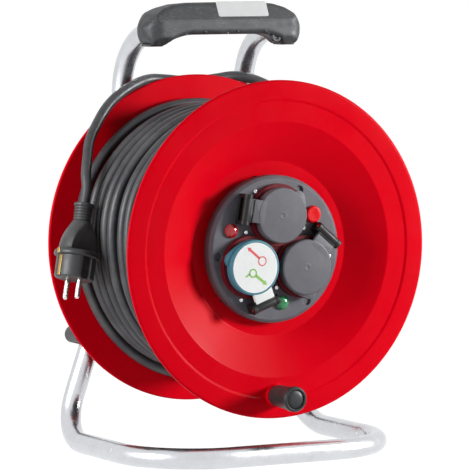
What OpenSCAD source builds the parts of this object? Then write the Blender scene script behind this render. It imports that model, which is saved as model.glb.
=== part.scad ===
// Cable reel for a building site: a plastic drum with three covered sockets,
// carried by a rear axle on a bent steel tube stand, with its rubber mains lead.
// Millimetres, Z up. The socket side faces -Y. The origin is at floor level,
// below the middle of the stand and drum.

/* [Tube stand] */
// Outside diameter of the stand's steel tube
tube_d = 20; // [18:1:22]
// Wall of the steel tube
tube_wall = 1.5; // [1:0.25:2.5]
// Height of the tube's centre line below the drum axle, at the floor loop
loop_drop = 192; // [188:1:215]
// Half the distance between the centre lines of the two floor legs
leg_half = 135; // [128:1:145]
// Distance from the front flange plane forward to the front bar's centre line
bar_reach = 12; // [0:1:30]
// Bend radius at the two front corners of the floor loop
loop_bend = 78; // [50:1:90]
// Bend radius from the floor legs up into the uprights
foot_bend = 45; // [35:1:55]
// Half the distance between the uprights beside the axle
upright_half = 70; // [64:1:76]
// Height of the bend in the uprights, above the axle
knee_rise = -5; // [-15:1:10]
// Distance from the front flange plane back to the uprights' centre line
upright_depth = 190; // [190:1:200]
// Height of the grip's middle above the axle
grip_rise = 217; // [214:1:230]

/* [Grip] */
// Distance from the front flange plane back to the grip's centre line
grip_depth = 115; // [105:1:125]
// Half the length of the grip
grip_half = 86.5; // [82:0.5:94]
// Height of the grip at its middle
grip_h = 31; // [28:1:36]
// Front to back size of the grip
grip_w = 35; // [32:1:40]
// Length of the bare label plate on the grip
label_l = 55; // [40:1:65]
// Height of the label plate
label_h = 16; // [12:1:18]

/* [Axle and carrier] */
// Diameter of the fixed axle
axle_d = 16; // [12:1:20]
// Height of the upper clamp bar above the axle
clamp_up = 45; // [35:1:60]
// Depth of the lower clamp bar below the axle
clamp_down = 93; // [80:1:100]
// Height of each clamp bar
clamp_h = 17; // [14:1:20]
// Half the length of the lower clamp bar
clamp_low_half = 123; // [123:1:134]
// Half the length of the upper clamp bar
clamp_top_half = 96; // [92:1:102]
// Diameter of the clamp bolts
bolt_d = 6; // [5:1:6]

/* [Drum] */
// Outside diameter of both flanges
drum_d = 320; // [300:2:324]
// Distance between the outer faces of the two flanges
drum_w = 168; // [160:1:168]
// Wall of the flanges
flange_t = 3; // [2.5:0.5:4]
// Thickness of the rolled rim
rim_t = 4; // [3.5:0.5:5]
// Width of the flat outer ring, from the rim in to its step
ring_w = 18; // [14:1:20]
// Height of that step
step_h = 1.2; // [0.8:0.2:2]
// Radius of the dish's outer edge
dish_r = 121; // [112:1:126]
// Radius of the flat dish floor
floor_r = 83; // [80:1:90]
// Depth of the dish floor behind the outer face
dish_depth = 19; // [16:1:22]
// Outside radius of the barrel that holds the winding
barrel_r = 75; // [73:1:78]
// Wall of the barrel
barrel_t = 3; // [2.5:0.5:4]

/* [Hub panel] */
// Radius of the round socket panel
panel_r = 70; // [69:0.5:73]
// Depth of the panel's face behind the flange's outer face
panel_depth = 7; // [5:0.5:9]
// Width of the slope round the panel's edge
panel_slope = 3; // [1:0.5:4]
// Wall of the panel
panel_t = 3; // [2.5:0.5:4]
// Distance from the hub's centre to each socket's centre
socket_pitch = 32.7; // [32:0.1:34]
// Angle of the first socket, from the X axis
socket_turn = 88; // [80:1:96]
// Inside diameter of a socket's well
well_d = 40; // [39:0.5:42]
// Depth of a socket's well
well_depth = 17.5; // [16:0.5:19]
// Distance between the two pin holes of a socket
pin_gap = 19; // [19:0.1:19.2]
// Diameter of a pin hole
pin_hole = 5.6; // [5.2:0.1:6]
// Height of the sockets' collar above the panel's face
collar_h = 5; // [4:0.5:6]

/* [Lids] */
// Radius of a socket lid
lid_r = 26.3; // [25:0.1:26.8]
// Thickness of a lid
lid_h = 8; // [7:0.5:9]
// Gap between a closed lid and the collar under it
lid_gap = 0.5; // [0.3:0.1:1]
// Distance from a lid's centre to its hinge
hinge_reach = 38; // [37:0.5:40]
// Direction of the hinge, measured on from the socket's own angle
hinge_turn = 82; // [78:1:88]
// Half the length of a hinge block
hinge_half = 14.5; // [13:0.5:15]
// Diameter of a hinge pin
hinge_pin_d = 3; // [2.5:0.5:3.5]
// Width of the tongue between a lid and its hinge
tongue_w = 21; // [16:0.5:21.5]

/* [Lamps and button] */
// Distance of the lamps and the button from the hub's centre
lamp_pitch = 51.5; // [50:0.5:53]
// Angle of the lamps and button, measured on from each socket
lamp_turn = 70; // [66:1:74]
// Radius of a lamp's lens
lamp_r = 6.8; // [5:0.2:7]
// Radius of the reset button
button_r = 7.8; // [6:0.2:8]
// Travel of the reset button
button_travel = 2.5; // [1.5:0.5:3]

/* [Crank knob] */
// Distance from the drum's rim in to the crank knob's pin
crank_inset = 22; // [18:1:26]
// Angle of the crank knob, from the X axis
crank_turn = -91; // [-95:1:-85]
// Length of the knob
knob_l = 35; // [30:1:42]
// Radius at the knob's outer end
knob_r = 12; // [10:0.5:13]
// Diameter of the knob's pin
knob_pin_d = 8; // [6:1:9]

/* [Mains lead] */
// Outside diameter of the rubber cord
cord_d = 10; // [9:0.5:10]
// Radius of the winding's outer layer, at the cord's centre
wind_r = 124.5; // [122:0.5:125]
// Turns of the winding's outer layer
wind_turns = 8; // [6:1:13]
// Radius of the loose last turn
loose_r = 129; // [128.5:0.5:131]
// Diameter of the plug's round front
plug_d = 38; // [36:0.5:38.5]
// Length of a plug pin
pin_l = 19; // [18:0.5:19.5]
// Diameter of a plug pin
pin_d = 4.8; // [4.6:0.1:4.9]

/* [Hidden] */

$fn = 64;
slack = 0.3;              // clearance between parts of different bodies
run_gap = 0.05;           // running clearance of a bearing, on the radius
tube_r = tube_d / 2;
axle_h = loop_drop + tube_r;
knob_base = 2.5;          // boss height under the knob
clamp_cover = 6;          // clamp bar thickness behind the tube
front_most = knob_base + knob_l + 1;
rear_most = upright_depth + tube_r + clamp_cover;
mid_y = (rear_most - front_most) / 2;
panel_face = -panel_depth;
cord_r = cord_d / 2;
rear_face = -drum_w;

// Puts a piece drawn from the axle, with Y counted back from the front flange plane
module on_stand() {
    translate([0, -mid_y, axle_h]) children();
}

// Puts a piece drawn about a Z axis that points forward out of the drum
module on_drum() {
    on_stand() rotate([90, 0, 0]) children();
}

function unit(v) = v / norm(v);
function socket_at(i) = socket_turn - 120 * i;
function hinge_dir(i) = socket_at(i) + hinge_turn;

// ---- Bent tube -------------------------------------------------------

draw = 0.1;               // bending draws the tube's wall this much thinner
lap = 0.3;                // straight runs reach this far into the bends

function corner_angle(a, b, c) = acos(max(-1, min(1, unit(b - a) * unit(c - b))));
function tangent_length(a, b, c, r) = r * tan(corner_angle(a, b, c) / 2);

// Cross-section of a tube; a bore of 0 leaves it solid
module tube_section(d, bore) {
    difference() {
        circle(d = d);
        if (bore > 0) circle(d = bore);
    }
}

// One bend of a tube, from the line a-b into the line b-c
module bend(a, b, c, r, d, bore) {
    u = unit(b - a);
    v = unit(c - b);
    turn = corner_angle(a, b, c);
    side = unit(v - u);
    centre = b + side * r / cos(turn / 2);
    start = b - u * tangent_length(a, b, c, r);
    e1 = unit(start - centre);
    e3 = cross(e1, u);
    multmatrix([[e1[0], u[0], e3[0], centre[0]], [e1[1], u[1], e3[1], centre[1]],
        [e1[2], u[2], e3[2], centre[2]], [0, 0, 0, 1]])
        rotate_extrude(angle = turn) translate([r, 0]) tube_section(d - draw, bore > 0 ? bore + draw : 0);
}

// A straight run of tube from p to q, which laps over the bends at its ends
module run(p, q, d, bore) {
    way = unit(q - p);
    translate(p - lap * way) rotate([0, acos(way[2]), atan2(way[1], way[0])])
        linear_extrude(norm(q - p) + 2 * lap) tube_section(d, bore);
}

// A tube through the points, with a bend of radii[i] at each inner point
module bent_tube(points, radii, d, bore) {
    last = len(points) - 1;
    cut = [for (i = [0:last]) i == 0 || i == last ? 0
        : tangent_length(points[i - 1], points[i], points[i + 1], radii[i])];
    for (i = [1:last - 1]) bend(points[i - 1], points[i], points[i + 1], radii[i], d, bore);
    for (i = [0:last - 1]) {
        way = unit(points[i + 1] - points[i]);
        run(points[i] + way * cut[i], points[i + 1] - way * cut[i + 1], d, bore);
    }
}

// ---- Stand -----------------------------------------------------------

splay = (leg_half - upright_half) / (loop_drop + knee_rise);  // sideways run of the lower uprights
function upright_x(z) = z > knee_rise ? upright_half : upright_half + (knee_rise - z) * splay;
top_half = upright_half - 3;      // the uprights lean in slightly towards the grip
grip_end_rise = grip_rise - 9;    // the tube rises from its shoulders to the grip's middle
shoulder = grip_end_rise - 19;
straight_half = 30;               // half the straight run inside the grip
joint_gap = 2;                    // gap between the tube's two ends
tube_side = [[0, -bar_reach, -loop_drop], [leg_half, -bar_reach, -loop_drop],
    [leg_half, upright_depth, -loop_drop], [upright_half, upright_depth, knee_rise],
    [top_half, upright_depth, shoulder], [top_half - 2, grip_depth + 3, grip_end_rise],
    [straight_half, grip_depth, grip_rise], [joint_gap / 2, grip_depth, grip_rise]];
tube_bends = [0, loop_bend, foot_bend, 80, 60, 22, 60, 0];

module tube_half(d, bore = 0) {
    bent_tube(tube_side, tube_bends, d, bore);
}

// Both halves of the tube's path
module tube_path(d, bore = 0) {
    tube_half(d, bore);
    mirror([1, 0, 0]) tube_half(d, bore);
}

module tube_frame() {
    color([0.78, 0.8, 0.81]) on_stand() tube_path(tube_d, tube_d - 2 * tube_wall);
}

// Solid plug that joins the tube's two ends inside the grip
module tube_spigot() {
    spigot_d = tube_d - 2 * tube_wall - 0.2;
    color([0.6, 0.62, 0.64]) on_stand() translate([0, grip_depth, grip_rise]) rotate([0, 90, 0])
        cylinder(d = spigot_d, h = 40, center = true);
}

// ---- Grip ------------------------------------------------------------

grip_top = grip_rise + grip_h / 2 - 1;
grip_under = grip_top - grip_h;
elbow_under = grip_under - 10;
split_rise = grip_rise - 4;

grip_front = grip_depth - grip_w / 2;
facet_low = [grip_front, grip_top - 17.5];       // the label's flat leans back from here
facet_high = [grip_front + 9, grip_top + 1];     // to here
facet_lean = atan((facet_high[0] - facet_low[0]) / (facet_high[1] - facet_low[1]));
label_mid = facet_low + 0.58 * (facet_high - facet_low);
grip_end_r = 19;                                 // the ends are a little wider than the bar
grip_back = grip_depth + 2 + grip_end_r;

// Upper or lower edge of the grip from the front, on the right, from the middle outwards
function grip_top_edge() = [[grip_half - 48, grip_top - 0.5], [grip_half - 32, grip_top - 2],
    [grip_half - 20, grip_top - 5.5], [grip_half - 11, grip_top - 11], [grip_half - 4, grip_top - 18.5]];
function grip_low_edge() = [[grip_half - 1, elbow_under + 15], [grip_half - 4, elbow_under + 7],
    [grip_half - 9, elbow_under], [grip_half - 19, elbow_under], [grip_half - 27, elbow_under + 5],
    [grip_half - 43, grip_under]];
function mirrored(points) = [for (i = [len(points) - 1:-1:0]) [-points[i][0], points[i][1]]];

// Outline of the grip from the front
module grip_front_outline() {
    right = concat(grip_top_edge(), [[grip_half, elbow_under + 18]], grip_low_edge());
    offset(r = 3) offset(delta = -3) polygon(concat(right, mirrored(right)));
}

// Outline of the grip from the side; x is depth, y is height
module grip_side_outline() {
    offset(r = 5) offset(delta = -5) polygon([[grip_front, grip_under - 3], facet_low, facet_high,
        [grip_depth - 3, grip_top + 1], [grip_depth + 7, grip_top - 2.5], [grip_back, grip_top - 13],
        [grip_back, elbow_under - 1], [grip_front + 8, elbow_under - 1]]);
}

// Outline of the grip from above: a bar with round, slightly wider ends
module grip_plan_outline() {
    link([grip_w / 2 - grip_half, grip_depth], [grip_half - grip_w / 2, grip_depth], grip_w / 2);
    for (s = [-1, 1]) translate([s * (grip_half - grip_end_r), grip_back - grip_end_r]) circle(r = grip_end_r);
}

module grip_solid() {
    intersection() {
        translate([0, 200, 0]) rotate([90, 0, 0]) linear_extrude(200) grip_front_outline();
        rotate([90, 0, 90]) linear_extrude(2 * grip_half + 2, center = true) grip_side_outline();
        linear_extrude(grip_top + 10) grip_plan_outline();
    }
}

module grip_shell(upper) {
    low = upper ? split_rise : 0;
    difference() {
        intersection() {
            grip_solid();
            translate([-200, 0, low]) cube([400, 300, upper ? 100 : split_rise]);
        }
        tube_path(tube_d);
        translate([0, grip_depth, grip_rise]) rotate([0, 90, 0]) cylinder(d = tube_d, h = 20, center = true);
        if (!upper) grip_screw_places() {
            translate([0, 0, -60]) cylinder(d = 3.6, h = 120);
            translate([0, 0, -60]) cylinder(d = 5.6, h = 60 + 2.5);
        }
        if (upper) grip_screw_places() cylinder(d = 3, h = 18);
        if (upper) at_label() linear_extrude(2) label_outline();
    }
}

// The screws go up beside the tube, in front of and behind it
module grip_screw_places() {
    for (x = [-45, 0, 45]) translate([x, grip_depth - 13.2, grip_under]) children();
}

module grip_upper() {
    color([0.2, 0.2, 0.21]) on_stand() grip_shell(true);
}

module grip_lower() {
    color([0.2, 0.2, 0.21]) on_stand() grip_shell(false);
}

module grip_screws() {
    color([0.5, 0.5, 0.52]) on_stand() grip_screw_places() {
        translate([0, 0, 0.1]) cylinder(d = 5.6, h = 2.4);
        translate([0, 0, 0.1]) cylinder(d = 3, h = 17);
    }
}

// The label's place, 0.4 mm below the grip's slanted flat
module at_label() {
    translate([18, label_mid[0], label_mid[1]]) rotate([90 - facet_lean, 0, 0]) translate([0, 0, -0.4])
        children();
}

module label_outline() {
    offset(r = 2) square([label_l - 4, label_h - 4], center = true);
}

// Bare plate on the grip's front
module label_plate() {
    color([0.95, 0.95, 0.95]) on_stand() at_label() linear_extrude(0.8) label_outline();
}

// ---- Axle and carrier ------------------------------------------------

low_tube_x = upright_x(-clamp_down);
bolt_side = tube_r + 6;     // bolts sit beside the tube
bolt_head_d = bolt_d + 4;
bolt_seat_d = bolt_head_d + 1;
nut_d = bolt_d + 5;
carrier_front = upright_depth - tube_r - 4;
boss_r = 24;

function bolt_spots() = [for (s = [-1, 1]) each [[s * (upright_half - bolt_side), clamp_up],
    [s * (upright_half + bolt_side), clamp_up], [s * (low_tube_x - bolt_side), -clamp_down],
    [s * (low_tube_x + bolt_side), -clamp_down]]];

function is_inner(p) = abs(p[0]) < upright_x(p[1]);
lug_front = upright_depth - tube_r + 1;
function nut_face(p) = is_inner(p) ? carrier_front : lug_front;

// A plate from depth y0 to y1 with an outline in X and Z
module plate(y0, y1) {
    translate([0, y1, 0]) rotate([90, 0, 0]) linear_extrude(y1 - y0) children();
}

// A flat link with round ends from p to q
module link(p, q, r) {
    way = q - p;
    translate(p) circle(r = r);
    translate(q) circle(r = r);
    translate(p) rotate(atan2(way[1], way[0])) translate([0, -r]) square([norm(way), 2 * r]);
}

module carrier_outline() {
    for (s = [-1, 1]) {
        link([0, 0], [s * (upright_half + 2), clamp_up], 8.5);
        link([0, 0], [s * low_tube_x, -clamp_down], 8.5);
    }
    link([-upright_half, clamp_up], [upright_half, clamp_up], 8.5);
    for (p = bolt_spots()) if (is_inner(p)) translate(p) circle(r = 8);
    polygon([[0, 0], [upright_half, clamp_up], [-upright_half, clamp_up]]);
    circle(r = boss_r);
}

// The carrier's lugs reach out past the tubes to their outer bolts
module lug_outline() {
    for (s = [-1, 1]) {
        link([s * (upright_half - bolt_side), clamp_up], [s * (upright_half + bolt_side), clamp_up], 7);
        link([s * (low_tube_x - bolt_side), -clamp_down], [s * (low_tube_x + bolt_side), -clamp_down], 7);
    }
}

module axle_carrier() {
    color([0.16, 0.16, 0.17]) on_stand() difference() {
        union() {
            plate(carrier_front, upright_depth - 0.2) carrier_outline();
            plate(lug_front, upright_depth - 0.2) lug_outline();
            plate(drum_w + 2, upright_depth + 4) circle(r = boss_r);
        }
        tube_path(tube_d);
        plate(carrier_front - 1, upright_depth + 1) for (p = bolt_spots()) translate(p) circle(d = bolt_d);
        plate(drum_w, upright_depth + 10) circle(d = axle_d);
    }
}

module clamp_bar(z, half, spots) {
    difference() {
        plate(upright_depth + 0.2, rear_most)
            link([-half + clamp_h / 2, z], [half - clamp_h / 2, z], clamp_h / 2);
        tube_path(tube_d);
        plate(upright_depth - 1, rear_most + 1) for (p = spots) translate(p) circle(d = bolt_d);
        plate(rear_most - 4, rear_most + 1) for (p = spots) translate(p) circle(d = bolt_seat_d);
    }
}

module clamp_bar_upper() {
    color([0.16, 0.16, 0.17]) on_stand()
        clamp_bar(clamp_up, clamp_top_half, [for (p = bolt_spots()) if (p[1] > 0) p]);
}

module clamp_bar_lower() {
    color([0.16, 0.16, 0.17]) on_stand()
        clamp_bar(-clamp_down, clamp_low_half, [for (p = bolt_spots()) if (p[1] < 0) p]);
}

module clamp_bolts() {
    color([0.7, 0.71, 0.73]) on_stand() for (p = bolt_spots()) {
        plate(nut_face(p) - 4, rear_most - 4) translate(p) circle(d = bolt_d);
        plate(rear_most - 4, rear_most - 0.5) translate(p) circle(d = bolt_head_d);
    }
}

module clamp_nuts() {
    color([0.7, 0.71, 0.73]) on_stand() for (p = bolt_spots()) {
        plate(nut_face(p) - 3, nut_face(p)) translate(p) difference() {
            circle(d = nut_d, $fn = 6);
            circle(d = bolt_d);
        }
    }
}

axle_front = 62;              // depth of the axle's front end
axle_shoulder = 24;

module axle() {
    color([0.75, 0.76, 0.78]) on_stand() {
        plate(axle_front, upright_depth + 13) circle(d = axle_d);
        plate(drum_w - 2, drum_w + 2) circle(d = axle_shoulder);
    }
}

module axle_nut() {
    color([0.7, 0.71, 0.73]) on_stand() plate(upright_depth + 4, upright_depth + 12) difference() {
        circle(d = 24 + (axle_d - 16), $fn = 6);
        circle(d = axle_d);
    }
}

bearing_front = 70;           // depth of the bearing tube's front end
washer_front = bearing_front - slack - 2;

// Thrust washer in front of the bearing tube
module axle_washer() {
    color([0.8, 0.8, 0.82]) on_stand() plate(washer_front, bearing_front - slack) difference() {
        circle(d = 2 * tube_bearing_r + 6);
        circle(d = axle_d);
    }
}

// Clip ring on the axle's front end, which keeps the drum on
module axle_retainer() {
    color([0.3, 0.3, 0.32]) on_stand() plate(washer_front - 2, washer_front) difference() {
        circle(d = axle_d + 6);
        circle(d = axle_d);
    }
}

// ---- Drum ------------------------------------------------------------

rim_r = drum_d / 2;
step_r = rim_r - ring_w;
crank_r = rim_r - crank_inset;
hub_hole_r = panel_r - 6;
rear_hole_r = 22;            // hole round the bearing tube in the rear flange
barrel_front = dish_depth + flange_t;
rear_floor = drum_w - dish_depth;
barrel_back = rear_floor - flange_t;

// Half section of a flange; x is radius, y is forward, outer face at 0
module flange_section(hole_r) {
    difference() {
        polygon([[hole_r, -dish_depth], [floor_r, -dish_depth], [dish_r, -step_h], [step_r - 2, -step_h],
            [step_r, 0], [rim_r, 0], [rim_r, -rim_t], [rim_r - 6, -rim_t], [rim_r - 8, -flange_t],
            [step_r + 1, -flange_t], [step_r - 1, -flange_t - step_h], [dish_r + 1, -flange_t - step_h],
            [floor_r + 1, -dish_depth - flange_t], [hole_r, -dish_depth - flange_t]]);
        translate([rim_r - rim_t / 2, -rim_t / 2]) difference() {
            translate([0, -rim_t]) square([rim_t, 2 * rim_t]);
            circle(d = rim_t);
        }
    }
}

bolt_ring = barrel_r - barrel_t - 3.5;
drum_bolt_turns = [for (i = [0:2]) socket_at(i) + 15];

module front_flange() {
    color([0.83, 0.02, 0.06]) on_drum() difference() {
        union() {
            rotate_extrude() flange_section(hub_hole_r);
            rotate(crank_turn) translate([crank_r, 0, -flange_t - 1])
                cylinder(r = knob_r - 1, h = flange_t + 1 + knob_base - slack);
        }
        rotate(crank_turn) translate([crank_r, 0, -10]) cylinder(d = knob_pin_d, h = 20);
        for (a = drum_bolt_turns) rotate(a) translate([bolt_ring, 0, -dish_depth - 5]) cylinder(d = 5, h = 10);
    }
}

module rear_flange() {
    color([0.83, 0.02, 0.06]) on_drum() difference() {
        translate([0, 0, rear_face]) mirror([0, 0, 1]) rotate_extrude() flange_section(rear_hole_r);
        for (a = drum_bolt_turns) rotate(a) translate([bolt_ring, 0, rear_face + dish_depth - 5])
            cylinder(d = 5, h = 12);
    }
}

// Ring of the barrel with the bosses of its bolts
module barrel_outline() {
    difference() {
        union() {
            difference() {
                circle(r = barrel_r);
                circle(r = barrel_r - barrel_t);
            }
            for (a = drum_bolt_turns) rotate(a) translate([bolt_ring, 0]) circle(r = 5);
        }
        for (a = drum_bolt_turns) rotate(a) translate([bolt_ring, 0]) circle(d = 5);
    }
}

module barrel() {
    color([0.75, 0.02, 0.05]) on_drum() difference() {
        translate([0, 0, -barrel_back]) linear_extrude(barrel_back - barrel_front) barrel_outline();
        gland_place() translate([0, 0, -10]) cylinder(d = gland_d, h = 20);
    }
}

module drum_bolts() {
    color([0.7, 0.71, 0.73]) on_drum() for (a = drum_bolt_turns) rotate(a) translate([bolt_ring, 0, 0]) {
        translate([0, 0, -rear_floor - 3]) cylinder(d = 9, h = 3);
        translate([0, 0, -rear_floor]) cylinder(d = 5, h = rear_floor - dish_depth);
    }
}

tube_bearing_r = axle_d / 2 + 4;

// Tube that carries the drum on its bushes, with a web that fills the barrel
module bearing_tube() {
    web_depth = 112;
    color([0.12, 0.12, 0.13]) on_drum() difference() {
        union() {
            translate([0, 0, -drum_w + 2.3]) cylinder(r = tube_bearing_r + 3, h = drum_w - 2.3 - bearing_front);
            translate([0, 0, -web_depth - 4]) cylinder(r = barrel_r - barrel_t, h = 4);
            translate([0, 0, -rear_floor - 2]) cylinder(r = rear_hole_r - 0.2, h = 5 + flange_t);
            translate([0, 0, -rear_floor + flange_t]) cylinder(r = rear_hole_r + 8, h = 3);
        }
        translate([0, 0, -drum_w - 1]) cylinder(r = tube_bearing_r, h = drum_w);
        for (a = drum_bolt_turns) rotate(a) translate([bolt_ring, 0, -web_depth - 5]) cylinder(r = 5, h = 8);
        rotate(gland_turn) translate([(barrel_r + tube_bearing_r) / 2 - 2, 0, -web_depth - 5])
            cylinder(r = 8, h = 8);
    }
}

module bush(depth_front, depth_back) {
    translate([0, 0, -depth_back]) difference() {
        cylinder(r = tube_bearing_r, h = depth_back - depth_front);
        translate([0, 0, -1]) cylinder(r = axle_d / 2 + run_gap, h = depth_back - depth_front + 2);
    }
}

module bush_front() {
    color([0.85, 0.83, 0.75]) on_drum() bush(bearing_front, bearing_front + 16);
}

module bush_rear() {
    color([0.85, 0.83, 0.75]) on_drum() bush(drum_w - 20, drum_w - 2.3);
}

// ---- Hub panel -------------------------------------------------------

collar_top = panel_face + collar_h;
well_back = collar_top - well_depth - 14;
well_r = well_d / 2;
well_wall = 3;
centre_r = socket_pitch - well_r - well_wall - 0.3;   // room between the three wells
collar_r = lid_r + 3.3;
hinge_axis_h = collar_top + lid_gap + lid_h / 2;   // height of the hinge axis over the flange plane
block_d = 9;
screw_spots = [for (i = [0:2]) each [hinge_spot(i, hinge_half + 6.5, -8),
    hinge_spot(i, -hinge_half - 3.8, -11.5)]];

// Point beside a hinge: across is along its axis, out is away from the lid
function hinge_spot(i, across, out) = let (s = socket_at(i), h = hinge_dir(i))
    [socket_pitch * cos(s) + (hinge_reach + out) * cos(h) - across * sin(h),
     socket_pitch * sin(s) + (hinge_reach + out) * sin(h) + across * cos(h)];

module at_socket(i) {
    rotate(socket_at(i)) translate([socket_pitch, 0, 0]) children();
}

// Frame of a hinge: X points from the lid's centre to the hinge, the origin is the lid's centre
module at_lid(i) {
    at_socket(i) rotate(hinge_turn) children();
}

module at_lamp(i) {
    rotate(socket_at(i) + lamp_turn) translate([lamp_pitch, 0, 0]) children();
}

finger_turn = -46;            // finger tab of a lid, measured from its socket's outward line

module finger_pocket(i, r, h) {
    at_socket(i) rotate(finger_turn) translate([collar_r + r, 0, 0]) cylinder(r = r, h = h, $fn = 32);
}

module hub_panel() {
    slope_h = 0.8 * panel_slope;
    color([0.33, 0.33, 0.35]) on_drum() difference() {
        union() {
            translate([0, 0, -dish_depth]) cylinder(r = panel_r, h = dish_depth - panel_depth - slope_h);
            translate([0, 0, panel_face - slope_h]) cylinder(r1 = panel_r, r2 = panel_r - panel_slope, h = slope_h);
            translate([0, 0, -dish_depth - 6]) cylinder(r = hub_hole_r - 0.6, h = 7);
        }
        translate([0, 0, -dish_depth - 7])
            cylinder(r = hub_hole_r - 2.2, h = 7 + dish_depth - panel_depth - panel_t);
        for (i = [0:2]) {
            at_socket(i) translate([0, 0, -20]) cylinder(r = well_r + well_wall, h = 30);
            translate([0, 0, panel_face - 2]) finger_pocket(i, 4.2, 5);
        }
        translate([0, 0, -20]) cylinder(r = centre_r, h = 30);
        for (i = [0, 2]) at_lamp(i) translate([0, 0, -20]) cylinder(r = lamp_r - 1, h = 30);
        at_lamp(1) translate([0, 0, -20]) cylinder(r = button_r + 0.15, h = 30);
        for (p = screw_spots) translate([p[0], p[1], -20]) cylinder(d = 3, h = 30);
    }
}

module panel_screws() {
    color([0.8, 0.8, 0.82]) on_drum() for (p = screw_spots) translate([p[0], p[1], panel_face]) small_screw(4.4);
}

module small_screw(head) {
    difference() {
        cylinder(d1 = head, d2 = head - 1, h = 1.2);
        translate([0, 0, 0.6]) cylinder(d = head * 0.45, h = 2, $fn = 6);
    }
    translate([0, 0, -6]) cylinder(d = 3, h = 6.2);
}

// Trefoil collar round the three wells
module socket_insert() {
    color([0.42, 0.03, 0.06]) on_drum() difference() {
        union() {
            translate([0, 0, panel_face]) linear_extrude(collar_h) for (i = [0:2]) at_socket(i)
                circle(r = collar_r);
            translate([0, 0, panel_face - panel_t - 2]) cylinder(r = centre_r, h = panel_t + 5);
        }
        for (i = [0:2]) at_socket(i) translate([0, 0, panel_face - 20]) cylinder(r = well_r, h = 40);
    }
}

module socket_well(i) {
    color([0.13, 0.13, 0.14]) on_drum() at_socket(i) {
        difference() {
            union() {
                translate([0, 0, well_back]) cylinder(r = well_r, h = collar_top - well_back);
                translate([0, 0, well_back]) cylinder(r = well_r + well_wall, h = panel_face - well_back);
            }
            translate([0, 0, collar_top - well_depth]) cylinder(r = well_r - 1.5, h = well_depth + 1);
            rotate(hinge_turn + 45) for (s = [-1, 1]) translate([s * pin_gap / 2, 0, collar_top - well_depth - 20])
                cylinder(d = pin_hole, h = 30);
            rotate(hinge_turn + 45) for (s = [-1, 1])
                translate([-3, s * (well_r - 3.2) - 1.6, collar_top - well_depth - 10]) cube([6, 3.2, 40]);
        }
    }
}

module socket_well_1() { socket_well(0); }
module socket_well_2() { socket_well(1); }
module socket_well_3() { socket_well(2); }

module pin_sleeves() {
    color([0.8, 0.62, 0.25]) on_drum() for (i = [0:2]) at_socket(i) rotate(hinge_turn + 45)
        for (s = [-1, 1]) translate([s * pin_gap / 2, 0, collar_top - well_depth - 13.5]) difference() {
            cylinder(d = pin_hole, h = 11);
            translate([0, 0, 1]) cylinder(d = pin_hole - 0.6, h = 12);
        }
}

module earth_clips() {
    color([0.8, 0.62, 0.25]) on_drum() for (i = [0:2]) at_socket(i) rotate(hinge_turn + 45)
        for (s = [-1, 1]) translate([-2.8, s * (well_r - 3.2) - 0.8, collar_top - well_depth - 9.5])
            cube([5.6, 1.6, well_depth + 5]);
}

module hinge_blocks() {
    color([0.1, 0.1, 0.11]) on_drum() for (i = [0:2]) at_lid(i) difference() {
        translate([hinge_reach - block_d / 2, -hinge_half, panel_face])
            cube([block_d, 2 * hinge_half, hinge_axis_h - panel_face]);
        translate([hinge_reach - block_d, -tongue_w / 2 - slack, panel_face + 2.5])
            cube([2 * block_d, tongue_w + 2 * slack, 40]);
        translate([hinge_reach, 0, hinge_axis_h]) rotate([90, 0, 0]) cylinder(d = hinge_pin_d, h = 60, center = true);
    }
    color([0.1, 0.1, 0.11]) on_drum() for (i = [0:2]) at_lid(i) for (s = [-1, 1]) difference() {
        translate([hinge_reach, s * (hinge_half + tongue_w / 2 + slack) / 2, hinge_axis_h]) rotate([90, 0, 0])
            cylinder(d = block_d, h = hinge_half - tongue_w / 2 - slack, center = true);
        translate([hinge_reach, 0, hinge_axis_h]) rotate([90, 0, 0]) cylinder(d = hinge_pin_d, h = 60, center = true);
    }
}

lid_low = collar_top + lid_gap;
knuckle_r = 4;

module lid(i) {
    color(i == 2 ? [0.9, 0.95, 0.96] : [0.36, 0.36, 0.38]) on_drum() at_lid(i) difference() {
        union() {
            translate([0, 0, lid_low]) cylinder(r = lid_r, h = lid_h - 1.5);
            translate([0, 0, lid_low + lid_h - 1.5]) cylinder(r1 = lid_r, r2 = lid_r - 1.5, h = 1.5);
            translate([lid_r - 6, -tongue_w / 2, lid_low + 1.5])
                cube([hinge_reach - lid_r + 6, tongue_w, lid_h - 3]);
            translate([hinge_reach, 0, hinge_axis_h]) rotate([90, 0, 0])
                cylinder(r = knuckle_r, h = tongue_w, center = true);
            rotate(finger_turn - hinge_turn) translate([lid_r - 1, -3.2, lid_low + 1]) cube([5, 6.4, 3.5]);
        }
        translate([0, 0, lid_low - 1]) cylinder(r = lid_r - 3, h = lid_h - 2.5 + 1);
        translate([hinge_reach, 0, hinge_axis_h]) rotate([90, 0, 0])
            cylinder(r = hinge_pin_d / 2 + run_gap, h = 60, center = true);
    }
}

module lid_1() { lid(0); }
module lid_2() { lid(1); }
module lid_3() { lid(2); }

module lid_pin(i) {
    color([0.8, 0.8, 0.82]) on_drum() at_lid(i) translate([hinge_reach, 0, hinge_axis_h])
        rotate([90, 0, 0]) cylinder(d = hinge_pin_d, h = 2 * hinge_half, center = true);
}

module lid_pin_1() { lid_pin(0); }
module lid_pin_2() { lid_pin(1); }
module lid_pin_3() { lid_pin(2); }

// Rubber seal ring inside a lid
module lid_seal(i) {
    color([0.08, 0.08, 0.08]) on_drum() at_socket(i) difference() {
        translate([0, 0, lid_low + 0.2]) cylinder(r = lid_r - 3, h = lid_h - 2.7);
        translate([0, 0, lid_low - 1]) cylinder(r = lid_r - 6, h = lid_h);
    }
}

module lid_seal_1() { lid_seal(0); }
module lid_seal_2() { lid_seal(1); }
module lid_seal_3() { lid_seal(2); }

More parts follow.
